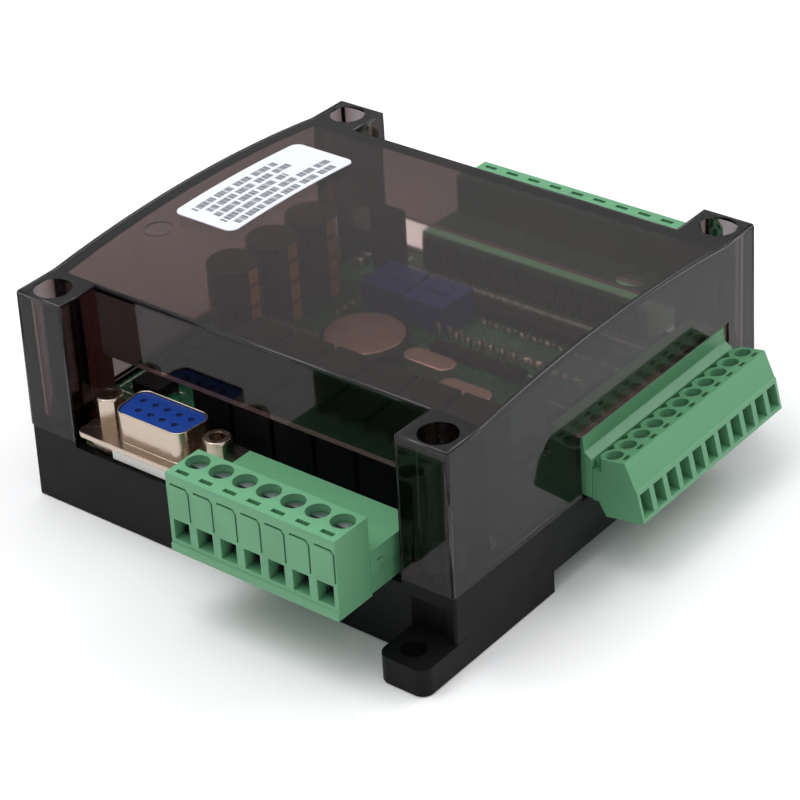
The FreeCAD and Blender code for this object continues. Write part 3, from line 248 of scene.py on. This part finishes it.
def plated(name, colour, roughness=0.22, streak=(0.3, 4.0, 0.3)):
    """Plated or drawn metal with fine streaks and a few dull patches."""
    look = Surface(name, roughness, metallic=1.0)
    lines = look.noise(1.6, detail=4.0, rough=0.6, vector=look.stretched(streak))
    patches = look.noise(0.35, rough=0.6)
    look.colour(look.blend(patches, scaled(colour, 1 - PATCH_SHIFT), scaled(colour, 1 + PATCH_SHIFT)))
    uneven = look.math("ADD", lines, patches)
    look.rough(look.remap(uneven, 0.6, 1.4, roughness - 0.06, roughness + 0.12))
    look.bump(lines, 0.25, 0.01)
    return look.material


COVER_IOR = 1.34
COVER_TINT = (0.37, 0.13, 0.08, 1.0)
COVER_DENSITY = 380.0
# the upright walls' darker tint is painted shade, standing in for their longer path through the plastic
WALL_SHADE_TINT = (0.28, 0.27, 0.285, 1.0)
ROOF_TINT = (0.95, 0.94, 0.93, 1.0)
ROOF_CLEAREST = (1.0, 0.99, 0.98, 1.0)
ROOF_COAT = 0.15
DUST_ROUGHNESS = 0.01


def smoky_cover():
    """Smoke-tinted clear plastic: it bends light, absorbs it with depth and lets the lamps through. Its
    upright walls carry a darker tint than the roof, on sight and in the lamps' shadows: painted shade for
    their longer path through the plastic.
    """
    look = Surface("smoky_plastic", 0.05, ior=COVER_IOR)
    look.shader.inputs["Transmission Weight"].default_value = 1.0
    swirl = look.noise(0.035, rough=0.5, warp=1.0)
    roof = look.remap(look.level_share(), 0.4, 0.9, 0.0, 1.0)
    # the walls get the darker tint: painted shade
    look.colour(look.blend(roof, WALL_SHADE_TINT, look.blend(swirl, ROOF_CLEAREST, ROOF_TINT)))
    look.feed(look.shader.inputs["Coat Weight"], look.math("MULTIPLY", roof, ROOF_COAT))
    look.shader.inputs["Coat Roughness"].default_value = 0.12
    dust = look.remap(look.noise(1.1, detail=5.0, rough=0.7), 0.62, 0.80, 0.0, 1.0)
    polish = look.remap(swirl, 0.3, 0.7, 0.03, 0.07)
    look.rough(look.math("MULTIPLY_ADD", dust, DUST_ROUGHNESS, polish))
    look.bump(look.noise(0.12, rough=0.5), 0.06, 0.05)
    clear = look.add("ShaderNodeBsdfTransparent")
    # the lamps' shadows through the walls are darker too: painted shade
    look.feed(clear.inputs["Color"], look.blend(roof, WALL_SHADE_TINT, ROOF_TINT))
    light = look.add("ShaderNodeLightPath")
    mix = look.add("ShaderNodeMixShader")
    look.feed(mix.inputs["Fac"], light.outputs["Is Shadow Ray"])
    look.link(look.shader.outputs["BSDF"], mix.inputs[1])
    look.link(clear.outputs["BSDF"], mix.inputs[2])
    look.link(mix.outputs["Shader"], look.output.inputs["Surface"])
    smoke = look.add("ShaderNodeVolumeAbsorption")
    smoke.inputs["Color"].default_value = COVER_TINT
    smoke.inputs["Density"].default_value = COVER_DENSITY
    look.link(smoke.outputs["Volume"], look.output.inputs["Volume"])
    return look.material


def edge_shade_plastic():
    """Near-black plastic for beads on the cover's edges: painted shade where the deep plastic seen edge-on
    looks dark.
    """
    look = Surface("smoky_edge_shade", 0.2)
    # near-black colour: painted shade of the deep plastic seen edge-on
    look.colour(look.blend(look.noise(0.3), srgb(22, 20, 22), srgb(38, 35, 37)))
    look.rough(look.remap(look.noise(1.2), 0.3, 0.7, 0.10, 0.18))
    look.bump(look.noise(2.0), 0.2, 0.02)
    return look.material


# pale printed bars on the board, in millimetres: left, right, front, back
SILKSCREEN = (
    # at the back header's ends and along its foot
    (-28.0, -23.4, 37.2, 37.6), (28.2, 33.0, 37.2, 37.6), (-28.0, -27.6, 36.2, 41.0),
    (-22.6, 27.4, 36.6, 37.7), (-14.0, 26.0, 33.7, 34.0),
    # in the front left corner and along the relays
    (-43.9, -43.5, -25.6, -19.0), (-43.9, -33.4, -26.6, -26.2), (-20.0, 34.5, -33.2, -32.8),
    # round the chips and the link header
    (24.0, 36.6, 12.4, 12.8), (6.4, 18.9, -12.7, -12.4), (-3.0, 18.0, 16.6, 16.9),
    (-3.6, -3.3, 12.9, 16.3),
)
TRACK_PITCHES = (1.27, 1.9)
TRACK_WIDTH = 0.16
TRACK_BEND = 6.0


def board_resist():
    """Green solder resist over faint copper tracks, with dull substrate edges."""
    look = Surface("board_green", 0.28)
    across, along = look.axes()[:2]
    tracks = []
    for axis, pitch in zip((across, along), TRACK_PITCHES):
        bend = look.math("MULTIPLY", look.math("SUBTRACT", look.cells(0.11), 0.5), TRACK_BEND)
        line = look.math("PINGPONG", look.math("ADD", axis, bend), pitch / 2)
        line = look.math("LESS_THAN", line, TRACK_WIDTH)
        gate = look.math("GREATER_THAN", look.noise(0.09, detail=1.0), 0.5)
        tracks.append(look.math("MULTIPLY", line, gate))
    copper = look.any_of(tracks)
    tone = look.blend(copper, srgb(12, 68, 47), srgb(22, 102, 68))
    print_mask = look.any_of([
        look.math("MULTIPLY", look.within(across, (left + right) / 2, (right - left) / 2),
                  look.within(along, (front + back) / 2, (back - front) / 2))
        for left, right, front, back in SILKSCREEN])
    worn = look.remap(look.noise(1.9, detail=4.0, rough=0.7), 0.42, 0.58, 0.25, 1.0)
    tone = look.blend(look.math("MULTIPLY", print_mask, worn), tone, srgb(214, 222, 210))
    flank = look.math("LESS_THAN", look.level_share(), 0.5)
    look.colour(look.blend(flank, tone, srgb(120, 128, 84)))
    look.rough(look.remap(look.noise(0.7), 0.3, 0.7, 0.22, 0.38))
    look.bump(look.math("ADD", copper, look.math("MULTIPLY", look.noise(4.0), 0.3)), 0.5, 0.03)
    return look.material


STRIPE_HALF = 1.25
DASH_PITCH = 4.4
DASH_HALF = 0.5


def capacitor_sleeve():
    """Dark shrink sleeve with an upright gold stripe, and darker dashes in it, on the +X side."""
    look = Surface("sleeve_black", 0.3)
    across, along, height = look.axes()
    low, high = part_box("capacitor_sleeves")
    rows = [(near.y + far.y) / 2 / MM for near, far in islands("capacitor_sleeves")]
    stripe = look.any_of([look.within(along, row, STRIPE_HALF) for row in rows])
    right_side = look.math("GREATER_THAN", across, (low.x + high.x) / 2 / MM)
    stripe = look.math("MULTIPLY", stripe, right_side)
    dash = look.math("LESS_THAN", look.math("PINGPONG", height, DASH_PITCH / 2), DASH_HALF)
    gold = look.blend(dash, srgb(168, 136, 80), srgb(118, 94, 56))
    sleeve = look.blend(look.noise(0.3), srgb(24, 24, 32), srgb(34, 33, 44))
    look.colour(look.blend(stripe, sleeve, gold))
    look.rough(look.remap(look.noise(1.0), 0.3, 0.7, 0.24, 0.4))
    look.bump(look.noise(0.8), 0.3, 0.03)
    return look.material


# rows of bars on the label, in millimetres
FIRST_ROW_MARGIN = 1.8
LAST_ROW_MARGIN = 0.6
BAR_HALF = 0.78
BAR_STARTS = (2.4, 3.6, 2.9, 2.2, 3.2)
BAR_ENDS = (9.4, 8.2, 12.0, 2.8, 3.6)
WORDS_PER_MM = 0.42
WORD_SHARE = 0.86
STROKES_PER_MM = 0.95
INK_STRENGTH = 0.86


def label_film():
    """White satin film with rows of grey bars of uneven length in place of print."""
    look = Surface("label_film", 0.45)
    across, along = look.axes()[:2]
    low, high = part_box("rating_label")
    left, right = low.x / MM, high.x / MM
    front, back = low.y / MM, high.y / MM
    row_pitch = (right - left - FIRST_ROW_MARGIN - LAST_ROW_MARGIN) / len(BAR_STARTS)
    bars = []
    for row, (start, end) in enumerate(zip(BAR_STARTS, BAR_ENDS)):
        band = look.within(across, left + FIRST_ROW_MARGIN + row_pitch * (row + 0.5), BAR_HALF)
        inside = look.math("MULTIPLY", look.math("GREATER_THAN", along, front + start),
                           look.math("LESS_THAN", along, back - end))
        uneven = look.math("SINE", look.math("MULTIPLY_ADD", along, 1.37, row * 2.1))
        even = look.math("MULTIPLY_ADD", along, WORDS_PER_MM, row * 3.7)
        steps = look.math("MULTIPLY_ADD", uneven, 0.22, even)
        word = look.math("LESS_THAN", look.math("FRACT", steps), WORD_SHARE)
        stroke = look.math("FRACT", look.math("MULTIPLY", along, STROKES_PER_MM))
        stroke = look.math("MULTIPLY_ADD", stroke, 0.35, 0.65)
        bars.append(look.math("MULTIPLY", look.math("MULTIPLY", band, inside),
                              look.math("MULTIPLY", word, stroke)))
    paper = look.blend(look.noise(0.25), srgb(222, 225, 236), srgb(232, 234, 244))
    ink = look.math("MULTIPLY", look.any_of(bars), INK_STRENGTH)
    look.colour(look.blend(ink, paper, srgb(44, 44, 52)))
    look.rough(look.remap(look.noise(2.0), 0.3, 0.7, 0.38, 0.52))
    look.bump(look.noise(3.0), 0.15, 0.01)
    return look.material


MATERIALS = {
    "black_plastic": moulded("black_plastic", srgb(12, 12, 14), 0.46, grain=5.0, depth=0.02, shift=0.12,
                             gloss=0.13),
    "smoky_plastic": smoky_cover(),
    "dark_screw_steel": plated("dark_screw_steel", srgb(120, 116, 110), 0.35),
    "plated_steel": plated("plated_steel", srgb(176, 178, 182), 0.3),
    "label_film": label_film(),
    "board_green": board_resist(),
    "terminal_green": moulded("terminal_green", srgb(92, 150, 110), 0.44, grain=6.0, depth=0.015,
                              shift=0.05),
    "tinned_brass": plated("tinned_brass", srgb(205, 204, 200)),
    "nickel_shell": plated("nickel_shell", srgb(198, 182, 166), 0.2, streak=(0.3, 0.3, 4.0)),
    "serial_blue": moulded("serial_blue", srgb(14, 58, 138), 0.35, grain=6.0),
    "serial_white": moulded("serial_white", srgb(225, 222, 218), 0.45),
    "gold_contact": plated("gold_contact", srgb(232, 196, 120)),
    "component_black": moulded("component_black", srgb(17, 17, 19), 0.55, grain=4.0, depth=0.03,
                               gloss=0.15),
    "can_aluminium": plated("can_aluminium", srgb(96, 92, 88), 0.4, streak=(2.0, 2.0, 0.3)),
    "sleeve_black": capacitor_sleeve(),
    "cell_steel": plated("cell_steel", srgb(210, 196, 184), 0.3, streak=(0.4, 3.0, 0.4)),
    "trimmer_blue": moulded("trimmer_blue", srgb(22, 44, 122), 0.35),
    "ferrite": moulded("ferrite", srgb(66, 66, 68), 0.6, grain=3.0, depth=0.05),
    "light_lens": moulded("light_lens", srgb(196, 204, 176), 0.25, grain=2.0),
    "chip_ceramic": moulded("chip_ceramic", srgb(40, 40, 44), grain=4.0),
}


# ---------------------------------------------------------------- nodes with finished edges

# radius of the rounded edges of each node, in millimetres
ROUNDED = {
    "base_shell": 0.35, "top_cover": 0.5, "rail_clip": 0.2,
    "output_plug_housing": 0.14, "input_plug_housing": 0.14, "signal_plug_housing": 0.12,
    "output_header": 0.15, "input_header": 0.15, "signal_header": 0.12,
    "serial_shell": 0.25, "serial_insert": 0.12, "serial_base": 0.3, "serial_jackscrews": 0.12,
    "relays": 0.35, "trimmer_bodies": 0.2, "processor": 0.12, "interface_chips": 0.12,
    "optocouplers": 0.12, "link_header": 0.12, "power_diodes": 0.15, "inductor": 0.35,
    "crystals": 0.3, "coin_cell": 0.2, "coin_cell_holder": 0.15, "regulator": 0.15,
    "capacitor_sleeves": 0.4, "capacitor_cans": 0.2,
}
BEVEL_SEGMENTS = 2
SHARP_ANGLE = math.radians(32.0)
FLAT_ANGLE = math.radians(0.6)


def finish_piece(name, mesh, material, body):
    """Turns a bmesh into a smooth-shaded piece that rides on a body."""
    data = bpy.data.meshes.new(name)
    mesh.to_mesh(data)
    mesh.free()
    data.shade_smooth()
    piece = bpy.data.objects.new(name, data)
    bpy.context.scene.collection.objects.link(piece)
    data.materials.append(material)
    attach(piece, body)
    return piece


def rounded(node, width):
    """A finished copy of a CAD node with rounded edges, which stands for the node."""
    mesh = bmesh.new()
    mesh.from_mesh(frame["nodes"][node].data)
    bmesh.ops.remove_doubles(mesh, verts=mesh.verts, dist=WELD_DISTANCE)
    bmesh.ops.dissolve_limit(mesh, angle_limit=FLAT_ANGLE, verts=mesh.verts, edges=mesh.edges,
                             use_dissolve_boundaries=False)
    slot = NODE_SLOT[node]
    piece = finish_piece(node + "_finish", mesh, MATERIALS[slot], NODE_BODY[node])
    bevel = piece.modifiers.new("Edges", "BEVEL")
    bevel.width = width * MM
    bevel.segments = BEVEL_SEGMENTS
    bevel.limit_method = "ANGLE"
    bevel.angle_limit = SHARP_ANGLE
    bevel.use_clamp_overlap = True
    weighted = piece.modifiers.new("Normals", "WEIGHTED_NORMAL")
    weighted.keep_sharp = False
    weighted.weight = 100
    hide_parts(node)


def dress(node, shown):
    """Gives the slot's material to a CAD node that is shown as it is."""
    material = MATERIALS[NODE_SLOT[node]]
    for holder in shown.material_slots:
        holder.material = material
    if not shown.material_slots:
        shown.data.materials.append(material)


# ---------------------------------------------------------------- building blocks of the details

def ring_of(mesh, centre, first, second, sides):
    """Vertices round an ellipse with two given half axes."""
    turns = [step * math.tau / sides for step in range(sides)]
    return [mesh.verts.new(centre + first * math.cos(turn) + second * math.sin(turn)) for turn in turns]


def close_rings(mesh, rings):
    """Bands of faces from ring to ring, and a cap on each end."""
    for lower, upper in zip(rings, rings[1:]):
        for step in range(len(lower)):
            follower = (step + 1) % len(lower)
            mesh.faces.new((lower[step], lower[follower], upper[follower], upper[step]))
    mesh.faces.new(rings[-1])
    mesh.faces.new(list(reversed(rings[0])))


def add_block(mesh, low, high, chamfer):
    """A block with bevelled edges between two corners."""
    placed = Matrix.Translation((low + high) / 2) @ Matrix.Diagonal((*(high - low), 1.0))
    made = bmesh.ops.create_cube(mesh, size=1.0, matrix=placed)
    edges = list({edge for vertex in made["verts"] for edge in vertex.link_edges})
    bmesh.ops.bevel(mesh, geom=edges, offset=chamfer, segments=2, profile=0.5, affect="EDGES")


# share of the foot's reach, and share of the height, from the foot to the tip
FILLET_RINGS = ((1.0, 0.0), (0.55, 0.35), (0.3, 0.75), (0.18, 1.0))
FILLET_SIDES = 12


def add_fillet(mesh, foot, height, reach_x, reach_y):
    """A little cone of solder, drawn out along X and Y."""
    close_rings(mesh, [
        ring_of(mesh, foot + Vector((0, 0, height * rise)), Vector((reach_x * share, 0, 0)),
                Vector((0, reach_y * share, 0)), FILLET_SIDES)
        for share, rise in FILLET_RINGS])


BEAD_SIDES = 10


def add_bead(mesh, points, radius):
    """A round bead along a line of points, all in millimetres."""
    points = [Vector(point) * MM for point in points]
    rings = []
    across = None
    for index, point in enumerate(points):
        before = points[max(index - 1, 0)]
        after = points[min(index + 1, len(points) - 1)]
        along = (after - before).normalized()
        if across is None:
            across = along.orthogonal().normalized()
        else:
            across = (across - along * across.dot(along)).normalized()
        up = along.cross(across)
        rings.append(ring_of(mesh, point, across * radius * MM, up * radius * MM, BEAD_SIDES))
    close_rings(mesh, rings)


# ---------------------------------------------------------------- details on the board

CAP_SHARE = 0.24
CAP_PROUD = 0.03 * MM
CAP_CHAMFER = 0.06 * MM
CAP_SOLDER_ALONG = 0.55 * MM
CAP_SOLDER_ACROSS = 0.5 * MM
SOLDER_LIFT = 0.01 * MM


def make_end_caps():
    """Tinned ends on the small chips, each with solder running down to the board."""
    mesh = bmesh.new()
    for low, high in islands("chip_resistors") + islands("status_lights"):
        size = high - low
        axis = 0 if size.x > size.y else 1
        other = 1 - axis
        for end in (low, high):
            start, stop = low.copy(), high.copy()
            if end is low:
                stop[axis] = low[axis] + size[axis] * CAP_SHARE
                start[axis] -= CAP_PROUD
            else:
                start[axis] = high[axis] - size[axis] * CAP_SHARE
                stop[axis] += CAP_PROUD
            start[other] -= CAP_PROUD
            stop[other] += CAP_PROUD
            stop.z += CAP_PROUD
            add_block(mesh, start, stop, CAP_CHAMFER)
            foot = (start + stop) / 2
            foot.z = low.z + SOLDER_LIFT
            foot[axis] = end[axis]
            add_fillet(mesh, foot, size.z * 0.5, CAP_SOLDER_ALONG, CAP_SOLDER_ACROSS)
    return finish_piece("chip_end_caps", mesh, MATERIALS["tinned_brass"], HOUSING)


PIN_SOLDER_REACH = {"link_header_pins": 0.75 * MM, "serial_contacts": 0.6 * MM}
PIN_SOLDER_HEIGHT = 0.4 * MM
LEAD_SOLDER_HEIGHT = 0.08 * MM
LEAD_SOLDER_SHARE = 0.95


def make_solder():
    """Solder round the link header's pins, the serial contacts and on the chips' leads."""
    mesh = bmesh.new()
    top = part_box("circuit_board")[1].z
    for node, reach in PIN_SOLDER_REACH.items():
        for low, high in islands(node):
            foot = (low + high) / 2
            foot.z = top + SOLDER_LIFT
            add_fillet(mesh, foot, PIN_SOLDER_HEIGHT, reach, reach)
    for low, high in islands("chip_leads"):
        foot = (low + high) / 2
        foot.z = high.z
        half = (high - low) / 2 * LEAD_SOLDER_SHARE
        add_fillet(mesh, foot, LEAD_SOLDER_HEIGHT, half.x, half.y)
    return finish_piece("solder_points", mesh, MATERIALS["tinned_brass"], HOUSING)


MARK_RADIUS = {"processor": 0.55 * MM, "interface_chips": 0.4 * MM}
MARK_INSET = 1.3 * MM
MARK_SIDES = 20
# share of the radius, and height over the chip, from the rim to the middle
MARK_RINGS = ((1.0, 0.0), (0.82, 0.04 * MM), (0.6, 0.005 * MM))


def make_chip_marks():
    """A round dimple with a raised rim beside the first lead of each flat package."""
    mesh = bmesh.new()
    for node, radius in MARK_RADIUS.items():
        for low, high in islands(node):
            centre = Vector((low.x + MARK_INSET, low.y + MARK_INSET, high.z))
            close_rings(mesh, [
                ring_of(mesh, centre + Vector((0, 0, rise)), Vector((radius * share, 0, 0)),
                        Vector((0, radius * share, 0)), MARK_SIDES)
                for share, rise in MARK_RINGS])
    return finish_piece("chip_marks", mesh, MATERIALS["component_black"], HOUSING)


HEADER_WAYS = 10
RIBS_PER_WAY = 3
RIB_START_SHARE = 0.09
RIB_WIDTH_SHARE = 0.82
RIB_PROUD = 0.35 * MM
RIB_SUNK = 0.1 * MM
RIB_FOOT = 0.6 * MM
RIB_HEAD = 1.3 * MM
RIB_CHAMFER = 0.08 * MM


def make_header_ribs():
    """Upright ribs on the board side of the back header, in a dark green: painted shade on the header's face
    towards the board.
    """
    mesh = bmesh.new()
    low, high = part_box("input_header")
    pitch = (high.x - low.x) / HEADER_WAYS / RIBS_PER_WAY
    for index in range(HEADER_WAYS * RIBS_PER_WAY):
        left = low.x + pitch * (index + RIB_START_SHARE)
        add_block(mesh, Vector((left, low.y - RIB_PROUD, low.z + RIB_FOOT)),
                  Vector((left + pitch * RIB_WIDTH_SHARE, low.y + RIB_SUNK, high.z - RIB_HEAD)),
                  RIB_CHAMFER)
    # a darker copy of the header's green: painted shade
    shade = moulded("terminal_green_painted_shade", srgb(27, 42, 36), 0.6, gloss=0.2)
    return finish_piece("input_header_ribs", mesh, shade, HOUSING)


# ---------------------------------------------------------------- the cover's dark edges, painted shade

# the cover's outline, in millimetres
COVER_LOW, COVER_HIGH = (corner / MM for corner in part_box("top_cover"))
SEAM_HEIGHT = COVER_LOW.z
CORNER_HEIGHT = 41.5
TOWER_INNER_X = 36.3
HOOD_Y = 35.6
ARCH_RISE = 2.3
ARCH_STEPS = 32
WALL_DRAFT = math.tan(math.radians(0.8))
BEAD_RADIUS = 0.4
BEAD_SUNK = 0.29
INNER_BEAD_SHARE = 0.8


def half_length(height):
    """Half the cover's length along X at a height."""
    return COVER_HIGH.x - (height - SEAM_HEIGHT) * WALL_DRAFT


def half_depth(height):
    """Half the cover's depth along Y at a height."""
    return COVER_HIGH.y - (height - SEAM_HEIGHT) * WALL_DRAFT


def arch_height(across):
    """Height of the roof above the towers' tops, at a place along Y."""
    radius = (HOOD_Y ** 2 + ARCH_RISE ** 2) / (2 * ARCH_RISE)
    return math.sqrt(radius ** 2 - across ** 2) - (radius - ARCH_RISE)


def make_cover_edges():
    """Dense dark beads along the cover's rounded edges: painted shade where the plastic is seen edge-on."""
    mesh = bmesh.new()
    foot = SEAM_HEIGHT + BEAD_RADIUS
    top = CORNER_HEIGHT - BEAD_SUNK
    foot_x = half_length(SEAM_HEIGHT) - BEAD_SUNK
    foot_y = half_depth(SEAM_HEIGHT) - BEAD_SUNK
    outer_x = half_length(CORNER_HEIGHT) - BEAD_SUNK
    outer_y = half_depth(CORNER_HEIGHT) - BEAD_SUNK
    inner_x = TOWER_INNER_X + BEAD_SUNK
    hood = HOOD_Y - BEAD_SUNK
    arch = [hood * (2 * step / ARCH_STEPS - 1) for step in range(ARCH_STEPS + 1)]
    for side in (-1, 1):
        gable = [(side * outer_x, along, top + arch_height(along)) for along in arch]
        add_bead(mesh, [(side * outer_x, -outer_y, top), *gable, (side * outer_x, outer_y, top)],
                 BEAD_RADIUS)
        add_bead(mesh, [(-inner_x, side * hood, top), (inner_x, side * hood, top)], BEAD_RADIUS)
        for end in (-1, 1):
            tower_edge = (end * inner_x, side * outer_y, top)
            corner = (end * outer_x, side * outer_y, top)
            add_bead(mesh, [(end * inner_x, side * hood, top), tower_edge, corner], BEAD_RADIUS)
            add_bead(mesh, [(end * foot_x, side * foot_y, foot), corner], BEAD_RADIUS)
            add_bead(mesh, [(end * inner_x, side * foot_y, foot), tower_edge],
                     BEAD_RADIUS * INNER_BEAD_SHARE)
    return finish_piece("cover_edge_shade", mesh, edge_shade_plastic(), HOUSING)


# ---------------------------------------------------------------- floor, light and camera

FLOOR_HALF = 6.0
FLOOR_GAP = 0.2 * MM


def direction(azimuth, elevation):
    """Unit vector from the object towards an azimuth and elevation in degrees, where 0,0 is the front."""
    turn, rise = math.radians(azimuth), math.radians(elevation)
    return Vector((math.sin(turn) * math.cos(rise), -math.cos(turn) * math.cos(rise), math.sin(rise)))


def make_floor():
    """A wide sheet of pale paper just under the object."""
    mesh = bmesh.new()
    bmesh.ops.create_grid(mesh, x_segments=2, y_segments=2, size=FLOOR_HALF)
    data = bpy.data.meshes.new("floor")
    mesh.to_mesh(data)
    mesh.free()
    floor = bpy.data.objects.new("floor", data)
    bpy.context.scene.collection.objects.link(floor)
    look = Surface("floor_paper", 0.7)
    look.colour(look.blend(look.noise(0.01, detail=2.0), (0.93, 0.93, 0.93, 1), (0.95, 0.95, 0.95, 1)))
    look.shader.inputs["Specular IOR Level"].default_value = 0.1
    data.materials.append(look.material)
    floor.location.z = CAD_BOX[0][2] - FLOOR_GAP


TENT_COLOUR = (0.97, 0.98, 1.0, 1)
TENT_HORIZON = 0.10
TENT_TOP = 0.88
TENT_TOP_FROM = 0.8


def make_world():
    """A soft white tent, dimmer towards the horizon."""
    world = bpy.data.worlds.new("tent")
    bpy.context.scene.world = world
    world.use_nodes = True
    tree = world.node_tree
    coordinates = tree.nodes.new("ShaderNodeTexCoord")
    split = tree.nodes.new("ShaderNodeSeparateXYZ")
    ramp = tree.nodes.new("ShaderNodeMapRange")
    ramp.inputs["From Min"].default_value = 0.0
    ramp.inputs["From Max"].default_value = TENT_TOP_FROM
    ramp.inputs["To Min"].default_value = TENT_HORIZON
    ramp.inputs["To Max"].default_value = TENT_TOP
    background = tree.nodes["Background"]
    background.inputs["Color"].default_value = TENT_COLOUR
    tree.links.new(coordinates.outputs["Generated"], split.inputs["Vector"])
    tree.links.new(split.outputs["Z"], ramp.inputs["Value"])
    tree.links.new(ramp.outputs["Result"], background.inputs["Strength"])


# angles in degrees, distances and sizes in metres, power in watts
SOFTBOXES = (
    dict(name="key_softbox", azimuth=-50.0, elevation=72.0, distance=1.1, size=0.8, power=6.2),
    dict(name="back_softbox", azimuth=150.0, elevation=45.0, distance=1.2, size=0.6, power=3.5),
    dict(name="side_softbox", azimuth=112.0, elevation=14.0, distance=1.0, size=0.35, power=0.5),
)


def add_softbox(name, azimuth, elevation, distance, size, power):
    """A square softbox aimed at the frame's origin, under the object's middle."""
    lamp = bpy.data.lights.new(name, "AREA")
    lamp.shape = "SQUARE"
    lamp.size = size
    lamp.energy = power
    holder = bpy.data.objects.new(name, lamp)
    bpy.context.scene.collection.objects.link(holder)
    away = direction(azimuth, elevation)
    holder.location = away * distance
    holder.rotation_mode = "QUATERNION"
    holder.rotation_quaternion = (-away).to_track_quat("-Z", "Y")


CAMERA_AIM = Vector((8.5, -9.2, 20.0)) * MM
CAMERA_DISTANCE = 0.4719
CAMERA_AZIMUTH = 39.86
CAMERA_ELEVATION = 31.75
CAMERA_ROLL = math.radians(-3.35)
CAMERA_LENS = 122.21
CAMERA_SENSOR = 36.0


def make_camera():
    """The camera looks down on the corner between the front plug and the side plug."""
    back = direction(CAMERA_AZIMUTH, CAMERA_ELEVATION)
    level = Vector((0, 0, 1)).cross(back).normalized()
    upward = back.cross(level)
    right = level * math.cos(CAMERA_ROLL) + upward * math.sin(CAMERA_ROLL)
    up = upward * math.cos(CAMERA_ROLL) - level * math.sin(CAMERA_ROLL)
    data = bpy.data.cameras.new("photo_view")
    data.lens = CAMERA_LENS
    data.sensor_width = CAMERA_SENSOR
    data.clip_start = 0.01
    data.clip_end = 50.0
    camera = bpy.data.objects.new("photo_view", data)
    bpy.context.scene.collection.objects.link(camera)
    camera.matrix_world = Matrix.Translation(CAMERA_AIM + back * CAMERA_DISTANCE) @ Matrix(
        (right, up, back)).transposed().to_4x4()
    bpy.context.scene.camera = camera


# ---------------------------------------------------------------- the scene

for node, shown in frame["nodes"].items():
    if node in ROUNDED:
        rounded(node, ROUNDED[node])
    else:
        dress(node, shown)

make_header_ribs()
make_cover_edges()
make_end_caps()
make_solder()
make_chip_marks()

make_floor()
make_world()
for softbox in SOFTBOXES:
    add_softbox(**softbox)
make_camera()
bpy.context.scene.view_settings.view_transform = "Standard"
